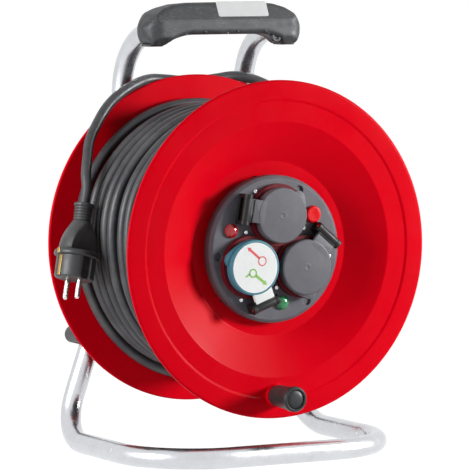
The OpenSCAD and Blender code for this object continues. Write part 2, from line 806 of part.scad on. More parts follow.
module lamp(i) {
    at_lamp(i) {
        translate([0, 0, panel_face]) cylinder(r = lamp_r, h = 1.6);
        translate([0, 0, panel_face + 1.6]) intersection() {
            translate([0, 0, -lamp_r * 0.5]) sphere(r = lamp_r * 1.12);
            cylinder(r = lamp_r, h = 6);
        }
        translate([0, 0, panel_face - 12]) cylinder(r = lamp_r - 1, h = 12.5);
    }
}

module lamp_red() {
    color([0.6, 0.02, 0.05]) on_drum() lamp(0);
}

module lamp_green() {
    color([0, 0.4, 0.2]) on_drum() lamp(2);
}

module reset_button() {
    color([0.85, 0.05, 0.08]) on_drum() at_lamp(1) {
        translate([0, 0, panel_face - panel_t - 3]) cylinder(r = button_r, h = panel_t + 3 + button_travel + 1);
        translate([0, 0, panel_face - panel_t - 3]) cylinder(r = button_r + 0.6, h = 3 - 0.05);
        translate([0, 0, panel_face - panel_t - 11]) cylinder(r = 2, h = 9);
    }
}

// Thermal cut-out behind the button
module cutout_body() {
    top = panel_face - panel_t - 3 - button_travel - 0.5;
    color([0.14, 0.14, 0.15]) on_drum() at_lamp(1) difference() {
        union() {
            translate([-8, -9.5, top - 22]) cube([16, 19, 22]);
            translate([0, 0, top - 2]) cylinder(r = button_r + 1.6, h = panel_face - panel_t - top + 2);
        }
        translate([0, 0, top]) cylinder(r = button_r + 0.8, h = 20);
        translate([0, 0, top - 16]) cylinder(r = 2 + run_gap, h = 17);
    }
}

module terminal_block() {
    color([0.75, 0.75, 0.72]) on_drum() translate([-15, -13, well_back - 14]) difference() {
        cube([30, 26, 14]);
        for (x = [5, 15, 25]) translate([x, 13, -1]) cylinder(d = 4, h = 10);
    }
}

gland_d = 16;
gland_turn = 150;
gland_depth = 128;

module gland_place() {
    rotate(gland_turn) translate([barrel_r, 0, -gland_depth]) rotate([0, 90, 0]) children();
}

module cable_gland() {
    color([0.1, 0.1, 0.1]) on_drum() gland_place() difference() {
        union() {
            translate([0, 0, -14]) cylinder(d = gland_d, h = 13.5);
            translate([0, 0, -barrel_t - 6]) cylinder(d = gland_d + 6, h = 5, $fn = 6);
        }
        translate([0, 0, -20]) cylinder(d = cord_d, h = 40);
    }
}

// ---- Crank knob ------------------------------------------------------

module at_crank() {
    on_drum() rotate(crank_turn) translate([crank_r, 0, 0]) children();
}

module crank_pin() {
    color([0.7, 0.71, 0.73]) at_crank() {
        translate([0, 0, -flange_t - 1]) cylinder(d = knob_pin_d, h = flange_t + 1 + knob_base + knob_l - 7);
        translate([0, 0, knob_base + knob_l - 8]) cylinder(d = knob_pin_d + 4, h = 3);
        translate([0, 0, -flange_t - step_h - 4]) cylinder(d = 13, h = 4, $fn = 6);
    }
}

module crank_knob() {
    color([0.12, 0.12, 0.13]) at_crank() translate([0, 0, knob_base]) difference() {
        union() {
            cylinder(r1 = knob_r - 2, r2 = knob_r - 0.6, h = knob_l - 6);
            translate([0, 0, knob_l - 6]) cylinder(r = knob_r, h = 5);
            translate([0, 0, knob_l - 1]) cylinder(r1 = knob_r, r2 = knob_r - 1, h = 1);
        }
        translate([0, 0, -1]) cylinder(r = knob_pin_d / 2 + run_gap, h = knob_l + 2);
        translate([0, 0, knob_l - 8 - slack]) cylinder(d = knob_pin_d + 4.6, h = 20);
        translate([0, 0, knob_l - 3]) cylinder(r = knob_r - 3, h = 20);
    }
}

module knob_cap() {
    color([0.3, 0.3, 0.32]) at_crank() translate([0, 0, knob_base + knob_l - 3]) intersection() {
        cylinder(r = knob_r - 3, h = 4);
        translate([0, 0, 4 - 2 * knob_r]) sphere(r = 2 * knob_r);
    }
}

// ---- Mains lead ------------------------------------------------------

ring_sides = 6;
turn_rings = 24;
core_r = wind_r * cos(180 / turn_rings) - cord_r - 0.15;   // clear of the turns' flat runs

// Inner layers of the winding as one plain body between the flanges
module cord_core() {
    reach = (core_r - floor_r) / (dish_r - floor_r) * (dish_depth - step_h);
    front = dish_depth + flange_t + 0.5;
    back = drum_w - front;
    color([0.13, 0.13, 0.14]) on_drum() rotate_extrude() polygon([[barrel_r + 0.3, -front],
        [floor_r, -front], [core_r, -front + reach], [core_r, -back - reach], [floor_r, -back],
        [barrel_r + 0.3, -back]]);
}

function smooth(t) = t <= 0 ? 0 : t >= 1 ? 1 : t * t * (3 - 2 * t);

wind_front = 11;              // depth of the first outer turn
wind_back = 148;              // depth of the last regular turn
loose_depth = 158.4;          // depth of the loose turn beside the rear flange
wind_start = 90;
loose_turn = 0.75;            // the loose turn goes from the top round to the right
exit_r = 137.5;

// Centre of the cord after t turns of the outer layer
function wind_radius(t) = wind_r + (loose_r - wind_r) * smooth((t - wind_turns) / 0.12)
    + (exit_r - loose_r) * smooth((t - wind_turns - 0.3) / 0.3);
function wind_depth(t) = t < wind_turns
    ? wind_front + (wind_back - wind_front) * t / wind_turns
    : wind_back + (loose_depth - wind_back) * smooth((t - wind_turns) / 0.25);
function wind_point(t) = let (a = wind_start + 360 * t, r = wind_radius(t))
    [r * cos(a), wind_depth(t), r * sin(a)];
wind_last = wind_turns + loose_turn;
wind_turn_points = [for (k = [0:floor(wind_last * turn_rings + 0.5)]) wind_point(k / turn_rings)];
first_way = unit(wind_turn_points[1] - wind_turn_points[0]);
wind_points = concat([wind_turn_points[0] - first_way * cord_d], wind_turn_points,
    [wind_turn_points[len(wind_turn_points) - 1] + [0, 0, cord_d]]);

// Sweeps a tube along the points, with flat ends square to its first and last run
module swept_tube(points, sides, d) {
    last = len(points) - 1;
    way = [for (i = [0:last]) unit(points[min(i + 1, last)] - points[max(i - 1, 0)])];
    rings = [for (i = [0:last]) let (n = unit(cross(way[i], [0, 1, 0.01])), b = cross(n, way[i]))
        each [for (k = [0:sides - 1]) let (a = 360 * k / sides) points[i] + d / 2 * (cos(a) * n + sin(a) * b)]];
    skin = [for (i = [0:last - 1], k = [0:sides - 1]) let (m = (k + 1) % sides)
        each [[i * sides + k, i * sides + m, (i + 1) * sides + m],
            [i * sides + k, (i + 1) * sides + m, (i + 1) * sides + k]]];
    low = [for (k = [1:sides - 2]) [0, k + 1, k]];
    high = [for (k = [1:sides - 2]) [last * sides, last * sides + k, last * sides + k + 1]];
    polyhedron(points = rings, faces = concat(skin, low, high));
}

module cord_winding() {
    color([0.15, 0.15, 0.16]) on_stand() swept_tube(wind_points, ring_sides, cord_d);
}

// Least gap of the winding to itself, between points more than half a turn apart
wind_gap = min([for (i = [0:len(wind_points) - 1]) for (j = [i + floor(turn_rings / 2):1:min(len(wind_points) - 1,
    i + floor(turn_rings * 1.5))]) norm(wind_points[i] - wind_points[j])]) - cord_d;
echo(least_winding_gap = wind_gap);

// Route of the lead's free end, from the winding over the rear rim and back to the plug:
// angle from the X axis, distance from the axle, depth behind the front flange plane
tail_polar = [[10, 139.5, 158], [20, 143.5, 158], [30, 149.5, 157.5], [40, 157, 156], [48, 163, 154.5],
    [56, 166.5, 155], [63, 167, 159], [69, 166.5, 166], [74, 163.5, 172], [80, 157.5, 173.6],
    [87, 153.5, 173.5], [94, 154, 173.5], [101, 159.5, 173.5], [107, 164.5, 171], [113.5, 165.8, 166.2],
    [121.3, 166, 162], [128.2, 164, 158.6], [136.3, 160.8, 152.5]];
tail_hang = [[-125, 147, 98.5], [-131, 139.8, 83], [-135.8, 133.2, 68]];
plug_top = [-141.2, 126, 40.6];
plug_way = unit([-15, -10, -60]);
plug_roll = -8;               // turn of the plug about its own axis
tail_points = concat([wind_points[len(wind_points) - 1]],
    [for (p = tail_polar) [p[1] * cos(p[0]), p[2], p[1] * sin(p[0])]], tail_hang,
    [plug_top - 1.5 * cord_d * plug_way, plug_top]);

module cord_tail() {
    color([0.15, 0.15, 0.16]) on_stand() swept_tube(tail_points, 8, cord_d);
}

// ---- Plug ------------------------------------------------------------

relief_l = 18;
plug_l = 56;
pin_stub_d = pin_d - 0.8;     // part of a pin inside the plug

// Frame of the plug: Z points from the cord to the pins, Y from front to back
module on_plug() {
    x = unit(cross([0, 1, 0], plug_way));
    y = cross(plug_way, x);
    on_stand() multmatrix([[x[0], y[0], plug_way[0], plug_top[0]], [x[1], y[1], plug_way[1], plug_top[1]],
        [x[2], y[2], plug_way[2], plug_top[2]], [0, 0, 0, 1]]) rotate([0, 0, plug_roll]) children();
}

module plug_relief() {
    color([0.1, 0.1, 0.1]) on_plug() difference() {
        union() {
            cylinder(d1 = cord_d + 5, d2 = cord_d + 8, h = relief_l);
            cylinder(d = cord_d + 9, h = 3);
            for (k = [1:4]) translate([0, 0, 1.4 + k * 3.4]) cylinder(d = cord_d + 8.4, h = 1.8);
        }
        translate([0, 0, -1]) cylinder(d = cord_d, h = 1);
    }
}

module plug_body() {
    flare = 30;
    color([0.1, 0.1, 0.1]) on_plug() translate([0, 0, relief_l]) difference() {
        union() {
            cylinder(d1 = cord_d + 8, d2 = plug_d - 1, h = flare);
            translate([0, 0, flare]) cylinder(d = plug_d + 6, h = 5);
            translate([0, 0, flare + 5]) cylinder(d = plug_d, h = plug_l - flare - 5);
        }
        for (s = [-1, 1]) translate([s * plug_d / 2 - 2.5, -3.5, flare + 5]) cube([5, 7, plug_l]);
        for (s = [-1, 1]) translate([0, s * pin_gap / 2, plug_l - 12]) cylinder(d = pin_stub_d, h = 20);
    }
}

module plug_pins() {
    color([0.75, 0.76, 0.78]) on_plug() for (s = [-1, 1])
        translate([0, s * pin_gap / 2, relief_l + plug_l]) {
            translate([0, 0, -12]) cylinder(d = pin_stub_d, h = 12.5);
            cylinder(d = pin_d, h = pin_l - pin_d / 2);
            translate([0, 0, pin_l - pin_d / 2]) sphere(d = pin_d);
        }
}

module plug_earth() {
    color([0.8, 0.62, 0.25]) on_plug() for (s = [-1, 1])
        translate([s * (plug_d / 2 - 1.9) - 0.6, -3.2, relief_l + 35.5]) cube([1.2, 6.4, plug_l - 36]);
}

tube_frame();
tube_spigot();
grip_upper();
grip_lower();
grip_screws();
label_plate();
axle_carrier();
clamp_bar_upper();
clamp_bar_lower();
clamp_bolts();
clamp_nuts();
axle();
axle_nut();
axle_washer();
front_flange();
rear_flange();
barrel();
drum_bolts();
bearing_tube();
bush_front();
bush_rear();
axle_retainer();
hub_panel();
panel_screws();
socket_insert();
socket_well_1();
socket_well_2();
socket_well_3();
pin_sleeves();
earth_clips();
hinge_blocks();
lid_1();
lid_2();
lid_3();
lid_pin_1();
lid_pin_2();
lid_pin_3();
lid_seal_1();
lid_seal_2();
lid_seal_3();
lamp_red();
lamp_green();
reset_button();
cutout_body();
terminal_block();
cable_gland();
crank_pin();
crank_knob();
knob_cap();
cord_core();
cord_winding();
cord_tail();
plug_body();
plug_relief();
plug_pins();
plug_earth();
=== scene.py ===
# Dressed scene of a building-site cable reel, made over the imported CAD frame.
# Lengths inside the helpers are millimetres from the drum's axle; objects are in metres.
import math

import bmesh
import bpy
from mathutils import Matrix, Vector


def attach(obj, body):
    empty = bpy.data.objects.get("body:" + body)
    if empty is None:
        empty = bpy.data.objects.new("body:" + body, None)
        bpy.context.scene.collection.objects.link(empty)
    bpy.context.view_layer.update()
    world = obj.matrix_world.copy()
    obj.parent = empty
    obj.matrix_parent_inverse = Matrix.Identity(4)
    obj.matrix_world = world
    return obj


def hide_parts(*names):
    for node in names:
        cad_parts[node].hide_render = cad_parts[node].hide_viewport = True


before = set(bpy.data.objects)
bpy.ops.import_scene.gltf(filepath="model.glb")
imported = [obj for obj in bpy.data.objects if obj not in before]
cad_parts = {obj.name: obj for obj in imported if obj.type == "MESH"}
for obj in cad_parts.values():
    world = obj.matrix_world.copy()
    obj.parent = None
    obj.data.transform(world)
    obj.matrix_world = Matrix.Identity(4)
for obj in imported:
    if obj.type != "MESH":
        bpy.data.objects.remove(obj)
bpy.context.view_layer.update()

scene = bpy.context.scene
scene.view_settings.view_transform = "Standard"

MID_Y = 83.75       # depth of the world's middle, behind the front flange's face
AXLE_H = 202.0      # axle above the floor
STAND = Matrix((
    (0.001, 0, 0, 0),
    (0, 0.001, 0, -MID_Y / 1000),
    (0, 0, 0.001, AXLE_H / 1000),
    (0, 0, 0, 1)))
FORWARD = Matrix(((1, 0, 0, 0), (0, 0, -1, 0), (0, 1, 0, 0), (0, 0, 0, 1)))     # Z turned to the front
DRUM = STAND @ FORWARD

DRUM_DEPTH = 168.0  # between the flanges' outer faces
CORD_D = 10.0
SOCKET_R = 32.7     # from the axle to a socket's middle
LAMP_R = 51.5       # from the axle to a lamp or the button
KNOB_R = 138.0
KNOB_ANGLE = -91
PANEL = -7.0        # the socket panel's face, behind the front flange's face


def stand(x, depth, z):
    """A point given from the axle: right, back from the front flange, up."""
    return STAND @ Vector((x, depth, z))


def polar(angle, r):
    """A point in the plane at an angle in degrees."""
    return Vector((r * math.cos(math.radians(angle)), r * math.sin(math.radians(angle))))


def turned(angle, x=0.0, y=0.0, z=0.0):
    """Drum frame turned about the axle, then moved out to a place on it."""
    return DRUM @ Matrix.Rotation(math.radians(angle), 4, "Z") @ Matrix.Translation((x, y, z))


def socket_angle(i):
    """Direction of socket i from the axle."""
    return 88 - 120 * i


def lamp_angle(i):
    """Direction of the lamp, or the button, that follows socket i."""
    return socket_angle(i) + 70


# ---- Camera ------------------------------------------------------------

camera_data = bpy.data.cameras.new("camera")
camera_data.sensor_width = 36
camera_data.lens = 284.45
camera_data.clip_start = 0.1
camera_data.clip_end = 200
camera = bpy.data.objects.new("camera", camera_data)
scene.collection.objects.link(camera)
camera.matrix_world = Matrix((    # fitted to both flange rims: front left, a little above the grip
    (0.87386, 0.03916, -0.48460, -1.7316),
    (-0.48618, 0.07039, -0.87102, -3.1113),
    (0.0, 0.99675, 0.08055, 0.4978),
    (0, 0, 0, 1)))
scene.camera = camera


# ---- Materials ---------------------------------------------------------

class Graph:
    """A material's node tree with short ways to add nodes and links."""

    def __init__(self, name):
        self.material = bpy.data.materials.new(name)
        self.material.use_nodes = True
        self.tree = self.material.node_tree
        self.tree.nodes.clear()
        self.out = self.tree.nodes.new("ShaderNodeOutputMaterial")
        self.shader = self.tree.nodes.new("ShaderNodeBsdfPrincipled")
        self.tree.links.new(self.shader.outputs[0], self.out.inputs[0])
        self.place = self.node("ShaderNodeTexCoord").outputs["Object"]

    def node(self, kind, **settings):
        """A new node with some of its properties set."""
        made = self.tree.nodes.new(kind)
        for key, value in settings.items():
            setattr(made, key, value)
        return made

    def link(self, source, target):
        self.tree.links.new(source, target)

    def noise(self, scale, detail=3.0, rough=0.5, stretch=None):
        """Noise over the object's own place, 0 to 1, drawn out along an axis if asked."""
        made = self.node("ShaderNodeTexNoise")
        made.inputs["Scale"].default_value = scale
        made.inputs["Detail"].default_value = detail
        made.inputs["Roughness"].default_value = rough
        place = self.place
        if stretch:
            mapping = self.node("ShaderNodeMapping")
            mapping.inputs["Scale"].default_value = stretch
            self.link(self.place, mapping.inputs["Vector"])
            place = mapping.outputs[0]
        self.link(place, made.inputs["Vector"])
        return made.outputs["Fac"]

    def ramp(self, source, low, high, to_low=0.0, to_high=1.0):
        """Maps low to high onto to_low to to_high, and holds outside it."""
        made = self.node("ShaderNodeMapRange")
        for key, value in zip(("From Min", "From Max", "To Min", "To Max"), (low, high, to_low, to_high)):
            made.inputs[key].default_value = value
        self.link(source, made.inputs["Value"])
        return made.outputs[0]

    def maths(self, kind, a, b):
        """A sum on two sockets or plain numbers."""
        made = self.node("ShaderNodeMath", operation=kind)
        for source, target in ((a, made.inputs[0]), (b, made.inputs[1])):
            if isinstance(source, (int, float)):
                target.default_value = source
            else:
                self.link(source, target)
        return made.outputs[0]

    def mix(self, factor, a, b):
        """A colour between a and b, each a socket or a plain colour."""
        made = self.node("ShaderNodeMix", data_type="RGBA")
        for source, target in ((factor, made.inputs[0]), (a, made.inputs[6]), (b, made.inputs[7])):
            if isinstance(source, (int, float)):
                target.default_value = source
            elif isinstance(source, tuple):
                target.default_value = source + (1.0,)
            else:
                self.link(source, target)
        return made.outputs[2]

    def bump(self, height, strength, distance, normal=None):
        """A normal shaped by a height, over another normal if there is one."""
        made = self.node("ShaderNodeBump")
        made.inputs["Strength"].default_value = strength
        made.inputs["Distance"].default_value = distance
        self.link(height, made.inputs["Height"])
        if normal is not None:
            self.link(normal, made.inputs["Normal"])
        return made.outputs[0]

    def bevel(self, radius):
        """A normal that rounds edges at this radius, in metres."""
        made = self.node("ShaderNodeBevel")
        made.samples = 6
        made.inputs["Radius"].default_value = radius
        return made.outputs[0]

    def edges(self, radius):
        """1 on edges narrower than the radius, 0 on flats."""
        soft = self.bevel(radius)
        hard = self.node("ShaderNodeNewGeometry").outputs["Normal"]
        dot = self.node("ShaderNodeVectorMath", operation="DOT_PRODUCT")
        self.link(soft, dot.inputs[0])
        self.link(hard, dot.inputs[1])
        return self.ramp(dot.outputs["Value"], 0.97, 0.8)


def srgb(r, g, b):
    """A screen colour of 0 to 255 as linear light."""
    def one(v):
        v /= 255
        return v / 12.92 if v <= 0.04045 else ((v + 0.055) / 1.055) ** 2.4
    return (one(r), one(g), one(b))


def shade(colour, k):
    """The colour made lighter or darker by a factor."""
    return tuple(min(1.0, v * k) for v in colour)


def finish(name, colour, rough=0.45, metal=0.0, specular=0.5, vary=0.1, blotch=35.0, rough_vary=0.08,
           grain=0.25, grain_scale=1400.0, grain_depth=0.00008, scratch=0.0, wear=0.0, bevel=0.0004,
           dust=0.0, dust_colour=(0.6, 0.58, 0.55), waves=0.0):
    """A moulded or metal surface: blotches, uneven gloss, fine grain, scratches, dust and worn edges."""
    g = Graph(name)
    s = g.shader
    s.inputs["Metallic"].default_value = metal
    s.inputs["Specular IOR Level"].default_value = specular
    patch = g.noise(blotch, detail=5.0, rough=0.6)
    base = g.mix(g.ramp(patch, 0.3, 0.7), shade(colour, 1 - vary), shade(colour, 1 + vary))
    haze = g.noise(blotch * 1.7, detail=4.0, rough=0.55)
    gloss = g.ramp(haze, 0.3, 0.7, rough - rough_vary, rough + rough_vary)
    if scratch > 0:
        fine = g.noise(160.0, detail=2.0, stretch=(1.0, 22.0, 3.0))
        cross = g.noise(140.0, detail=2.0, stretch=(16.0, 1.0, 5.0))
        marks = g.maths("MAXIMUM", g.ramp(fine, 0.66, 0.72), g.ramp(cross, 0.68, 0.74))
        marks = g.maths("MULTIPLY", marks, g.ramp(g.noise(18.0), 0.42, 0.62))
        base = g.mix(g.maths("MULTIPLY", marks, scratch), base, shade(colour, 1.9))
        gloss = g.maths("ADD", gloss, g.maths("MULTIPLY", marks, 0.18))
    if dust > 0:
        film = g.ramp(g.noise(22.0, detail=6.0, rough=0.7), 0.42, 0.7)
        base = g.mix(g.maths("MULTIPLY", film, dust), base, dust_colour)
        gloss = g.maths("ADD", gloss, g.maths("MULTIPLY", film, 0.25 * dust))
    if wear > 0:
        patchy = g.ramp(g.noise(90.0, detail=4.0, rough=0.7), 0.4, 0.62)
        rub = g.maths("MULTIPLY", g.edges(bevel * 2.2), patchy)
        base = g.mix(g.maths("MULTIPLY", rub, wear), base, shade(colour, 2.2))
    g.link(base, s.inputs["Base Color"])
    g.link(gloss, s.inputs["Roughness"])
    round_edges = g.bevel(bevel) if bevel > 0 else None
    surface = g.bump(g.noise(grain_scale, detail=2.0), grain, grain_depth, round_edges)
    if waves > 0:
        surface = g.bump(g.noise(45.0, detail=2.0), waves, 0.0008, surface)
    g.link(surface, s.inputs["Normal"])
    return g.material


flange_red = finish("flange_red", srgb(222, 0, 24), rough=0.3, specular=0.035, vary=0.04, blotch=14,
                    grain=0.15, grain_scale=900, scratch=0.02, bevel=0.0008, waves=0.04)
steel = finish("tube_zinc", srgb(208, 210, 214), rough=0.24, metal=1.0, vary=0.05, blotch=60, rough_vary=0.05,
               grain=0.05, grain_scale=900, scratch=0.12, bevel=0.0003)
zinc = finish("fastener_zinc", srgb(190, 188, 180), rough=0.32, metal=1.0, blotch=120, scratch=0.2)
bright = finish("bright_steel", srgb(215, 215, 217), rough=0.18, metal=1.0, vary=0.08, blotch=150,
                scratch=0.2)
dark_steel = finish("dark_steel", srgb(60, 60, 64), metal=0.7, vary=0.12, wear=0.4)
carrier_black = finish("carrier_plastic", srgb(52, 52, 56), rough=0.5, vary=0.12, blotch=50, grain=0.5,
                       wear=0.35, dust=0.12, bevel=0.0009)
# Near-black plastic of the inner parts, also used as painted shade in the grip's holes and slot
inner_black_and_hole_shade = finish("inner_plastic", srgb(34, 34, 37), rough=0.55, vary=0.12)
bush_cream = finish("bush_plastic", srgb(214, 208, 190), rough=0.4, vary=0.05)
panel_grey = finish("panel_plastic", srgb(88, 88, 96), rough=0.5, specular=0.3, vary=0.08, blotch=45,
                    grain=0.5, grain_scale=1600, scratch=0.12, wear=0.4, dust=0.08, bevel=0.0012)
maroon = finish("insert_plastic", srgb(104, 8, 22), specular=0.2, vary=0.08, wear=0.2, bevel=0.0006)
well_black = finish("well_plastic", srgb(30, 30, 33), rough=0.4, bevel=0.0005)
brass = finish("brass", srgb(178, 148, 92), rough=0.34, metal=1.0, vary=0.12, blotch=160, scratch=0.2)
hinge_black = finish("hinge_plastic", srgb(20, 20, 22), specular=0.3, vary=0.12, wear=0.2, bevel=0.0008)
lid_grey = finish("lid_plastic", srgb(92, 92, 99), rough=0.5, specular=0.3, vary=0.06, blotch=60,
                  grain=0.5, scratch=0.12, wear=0.35, dust=0.06, bevel=0.0008)
lid_teal = finish("lid_teal", srgb(66, 122, 140), rough=0.42, specular=0.35, vary=0.06, blotch=60,
                  grain=0.4, wear=0.25, bevel=0.0008)
seal_rubber = finish("seal_rubber", srgb(26, 26, 27), rough=0.75, specular=0.3)
button_red = finish("button_plastic", srgb(236, 6, 20), rough=0.3, specular=0.2, vary=0.05, blotch=80,
                    bevel=0.0006)
knob_black = finish("knob_plastic", srgb(40, 43, 45), rough=0.36, specular=0.25, vary=0.12, blotch=70,
                    grain=0.4, wear=0.25, dust=0.06, bevel=0.0008)
cord_rubber = finish("cord_rubber", srgb(62, 63, 67), rough=0.4, specular=0.45, vary=0.14, blotch=30,
                     grain=0.5, grain_scale=700, grain_depth=0.0002, scratch=0.15, dust=0.1, bevel=0)
plug_rubber = finish("plug_rubber", srgb(50, 51, 54), rough=0.42, vary=0.12, blotch=60, grain=0.5,
                     wear=0.3, dust=0.10, bevel=0.0008)
pin_nickel = finish("pin_nickel", srgb(224, 220, 214), rough=0.16, metal=1.0, vary=0.06, blotch=150,
                    scratch=0.2)
label_white = finish("label_white", srgb(228, 229, 230), rough=0.35, specular=0.3, vary=0.03, blotch=60,
                     grain=0.15, dust=0.08, dust_colour=srgb(190, 188, 182), bevel=0.0003)
sticker_white = finish("sticker_white", srgb(240, 243, 242), rough=0.32, specular=0.3, vary=0.02, blotch=80,
                       grain=0.1, dust=0.05, dust_colour=srgb(200, 200, 196), bevel=0)
sticker_red = finish("sticker_red", srgb(226, 84, 92), rough=0.32, vary=0.06, blotch=300, grain=0.1, bevel=0)
sticker_green = finish("sticker_green", srgb(142, 196, 96), rough=0.32, vary=0.06, blotch=300, grain=0.1,
                       bevel=0)
terminal_grey = finish("terminal_plastic", srgb(190, 188, 178), rough=0.4, vary=0.06)
gland_black = finish("gland_plastic", srgb(28, 28, 30), rough=0.4)


def grip_finish():
    """Scuffed grip plastic: pale mottling, fine scratches and the seam between its two halves."""
    seam_height = 0.415
    g = Graph("grip_plastic")
    s = g.shader
    mottle = g.ramp(g.noise(55.0, detail=6.0, rough=0.7), 0.32, 0.68)
    base = g.mix(mottle, srgb(41, 42, 45), srgb(62, 64, 67))
    fine = g.ramp(g.noise(260.0, detail=4.0, rough=0.7, stretch=(1.0, 2.5, 2.5)), 0.52, 0.66)
    scuffs = g.maths("MULTIPLY", fine, g.ramp(g.noise(40.0, detail=4.0, rough=0.6), 0.42, 0.6))
    base = g.mix(g.maths("MULTIPLY", scuffs, 0.5), base, srgb(118, 120, 122))
    patchy = g.ramp(g.noise(70.0, detail=4.0, rough=0.7), 0.38, 0.6)
    rub = g.maths("MULTIPLY", g.edges(0.003), patchy)
    base = g.mix(g.maths("MULTIPLY", rub, 0.55), base, srgb(132, 134, 136))
    axes = g.node("ShaderNodeSeparateXYZ")
    g.link(g.place, axes.inputs[0])
    off_seam = g.maths("ABSOLUTE", g.maths("SUBTRACT", axes.outputs["Z"], seam_height), 0.0)
    seam = g.ramp(off_seam, 0.0002, 0.0007, 1.0, 0.0)
    base = g.mix(g.maths("MULTIPLY", seam, 0.25), base, srgb(16, 16, 17))
    g.link(base, s.inputs["Base Color"])
    g.link(g.ramp(g.noise(120.0, detail=4.0, rough=0.6), 0.3, 0.7, 0.38, 0.62), s.inputs["Roughness"])
    s.inputs["Specular IOR Level"].default_value = 0.45
    surface = g.bump(g.noise(1100.0, detail=2.0), 0.6, 0.00015, g.bevel(0.001))
    surface = g.bump(g.maths("SUBTRACT", 1.0, seam), 0.3, 0.0004, surface)
    g.link(surface, s.inputs["Normal"])
    return g.material


def lens_finish(name, colour):
    """A clear coloured lamp cap with a slightly uneven tone."""
    g = Graph(name)
    s = g.shader
    tone = g.mix(g.noise(300.0, detail=2.0), shade(colour, 0.75), shade(colour, 1.25))
    g.link(tone, s.inputs["Base Color"])
    s.inputs["Coat Weight"].default_value = 0.4
    s.inputs["Coat Roughness"].default_value = 0.05
    s.inputs["Transmission Weight"].default_value = 0.15
    s.inputs["IOR"].default_value = 1.5
    g.link(g.ramp(g.noise(500.0, detail=2.0), 0.3, 0.7, 0.06, 0.16), s.inputs["Roughness"])
    return g.material


grip_black = grip_finish()
lens_red = lens_finish("lens_red", srgb(190, 10, 26))
lens_green = lens_finish("lens_green", srgb(10, 140, 78))


# ---- Mesh helpers ------------------------------------------------------

def smooth(t):
    """An eased step from 0 at t = 0 to 1 at t = 1."""
    t = max(0.0, min(1.0, t))
    return t * t * (3 - 2 * t)


def rounded(points, radii, steps=5, closed=False):
    """A 2D outline with an arc at each corner; radii is one radius or one for each point."""
    n = len(points)
    if isinstance(radii, (int, float)):
        radii = [radii] * n
    made = []
    for i, p in enumerate(points):
        p = Vector(p)
        if radii[i] <= 0 or (not closed and i in (0, n - 1)):
            made.append(p)
            continue
        a = Vector(points[i - 1]) - p
        b = Vector(points[(i + 1) % n]) - p
        half = a.angle(b) / 2
        reach = min(radii[i] / math.tan(half), a.length * 0.49, b.length * 0.49)
        r = reach * math.tan(half)
        start = p + a.normalized() * reach
        end = p + b.normalized() * reach
        centre = p + (a.normalized() + b.normalized()).normalized() * (r / math.sin(half))
        for k in range(steps + 1):
            q = start.lerp(end, k / steps)
            made.append(centre + (q - centre).normalized() * r)
    return made


def lathe(bm, profile, n=96, closed=True, matrix=Matrix()):
    """Turns a profile of (radius, height) about the local Z axis; an open one starts and ends on it."""
    rows = []
    for r, z in profile:
        if r < 1e-6:
            rows.append([bm.verts.new(matrix @ Vector((0, 0, z)))])
        else:
            spots = [polar(360 * k / n, r) for k in range(n)]
            rows.append([bm.verts.new(matrix @ Vector((spot.x, spot.y, z))) for spot in spots])
    pairs = list(zip(rows, rows[1:]))
    if closed:
        pairs.append((rows[-1], rows[0]))
    for low, high in pairs:
        for k in range(n):
            m = (k + 1) % n
            if len(low) == 1 and len(high) == 1:
                continue
            if len(low) == 1:
                bm.faces.new((low[0], high[k], high[m]))
            elif len(high) == 1:
                bm.faces.new((low[k], low[m], high[0]))
            else:
                bm.faces.new((low[k], low[m], high[m], high[k]))


def loft(bm, rings):
    """Skins a list of rings with the same number of points each, and closes both ends."""
    rows = [[bm.verts.new(p) for p in ring] for ring in rings]
    n = len(rows[0])
    for low, high in zip(rows, rows[1:]):
        for k in range(n):
            m = (k + 1) % n
            bm.faces.new((low[k], low[m], high[m], high[k]))
    bm.faces.new(rows[0])
    bm.faces.new(rows[-1])


def block(bm, outline, z0, z1, edge=0.0, matrix=Matrix()):
    """An upright prism over a convex outline, with rounded top and bottom edges."""
    middle = sum((Vector(p) for p in outline), Vector((0, 0))) / len(outline)

    def ring(z, inset):
        """The outline at height z, drawn in towards its middle."""
        made = []
        for p in outline:
            way = Vector(p) - middle
            q = middle + way * (1 - inset / max(way.length, 1e-6))
            made.append(matrix @ Vector((q.x, q.y, z)))
        return made

    if edge == 0:
        loft(bm, [ring(z0, 0), ring(z1, 0)])
        return
    turns = [math.pi / 2 * k / 3 for k in range(4)]
    bottom = [ring(z0 + edge * (1 - math.sin(a)), edge * (1 - math.cos(a))) for a in turns[::-1]]
    top = [ring(z1 - edge * (1 - math.sin(a)), edge * (1 - math.cos(a))) for a in turns]
    loft(bm, bottom + top)


def box_outline(x0, y0, x1, y1, r):
    """A rectangle with rounded corners."""
    return rounded([(x0, y0), (x1, y0), (x1, y1), (x0, y1)], r, 4, closed=True)


def piece(name, bm, matrix, material, body, replaces=(), sharp=38):
    """Makes a visible object of the mesh, riding a body and standing in for CAD nodes."""
    bm.transform(matrix)
    bmesh.ops.recalc_face_normals(bm, faces=bm.faces)
    mesh = bpy.data.meshes.new(name)
    bm.to_mesh(mesh)
    bm.free()
    mesh.polygons.foreach_set("use_smooth", [True] * len(mesh.polygons))
    mesh.set_sharp_from_angle(angle=math.radians(sharp))
    mesh.materials.append(material)
    made = bpy.data.objects.new(name, mesh)
    scene.collection.objects.link(made)
    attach(made, body)
    if replaces:
        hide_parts(*replaces)
    return made


# ---- Mains lead --------------------------------------------------------

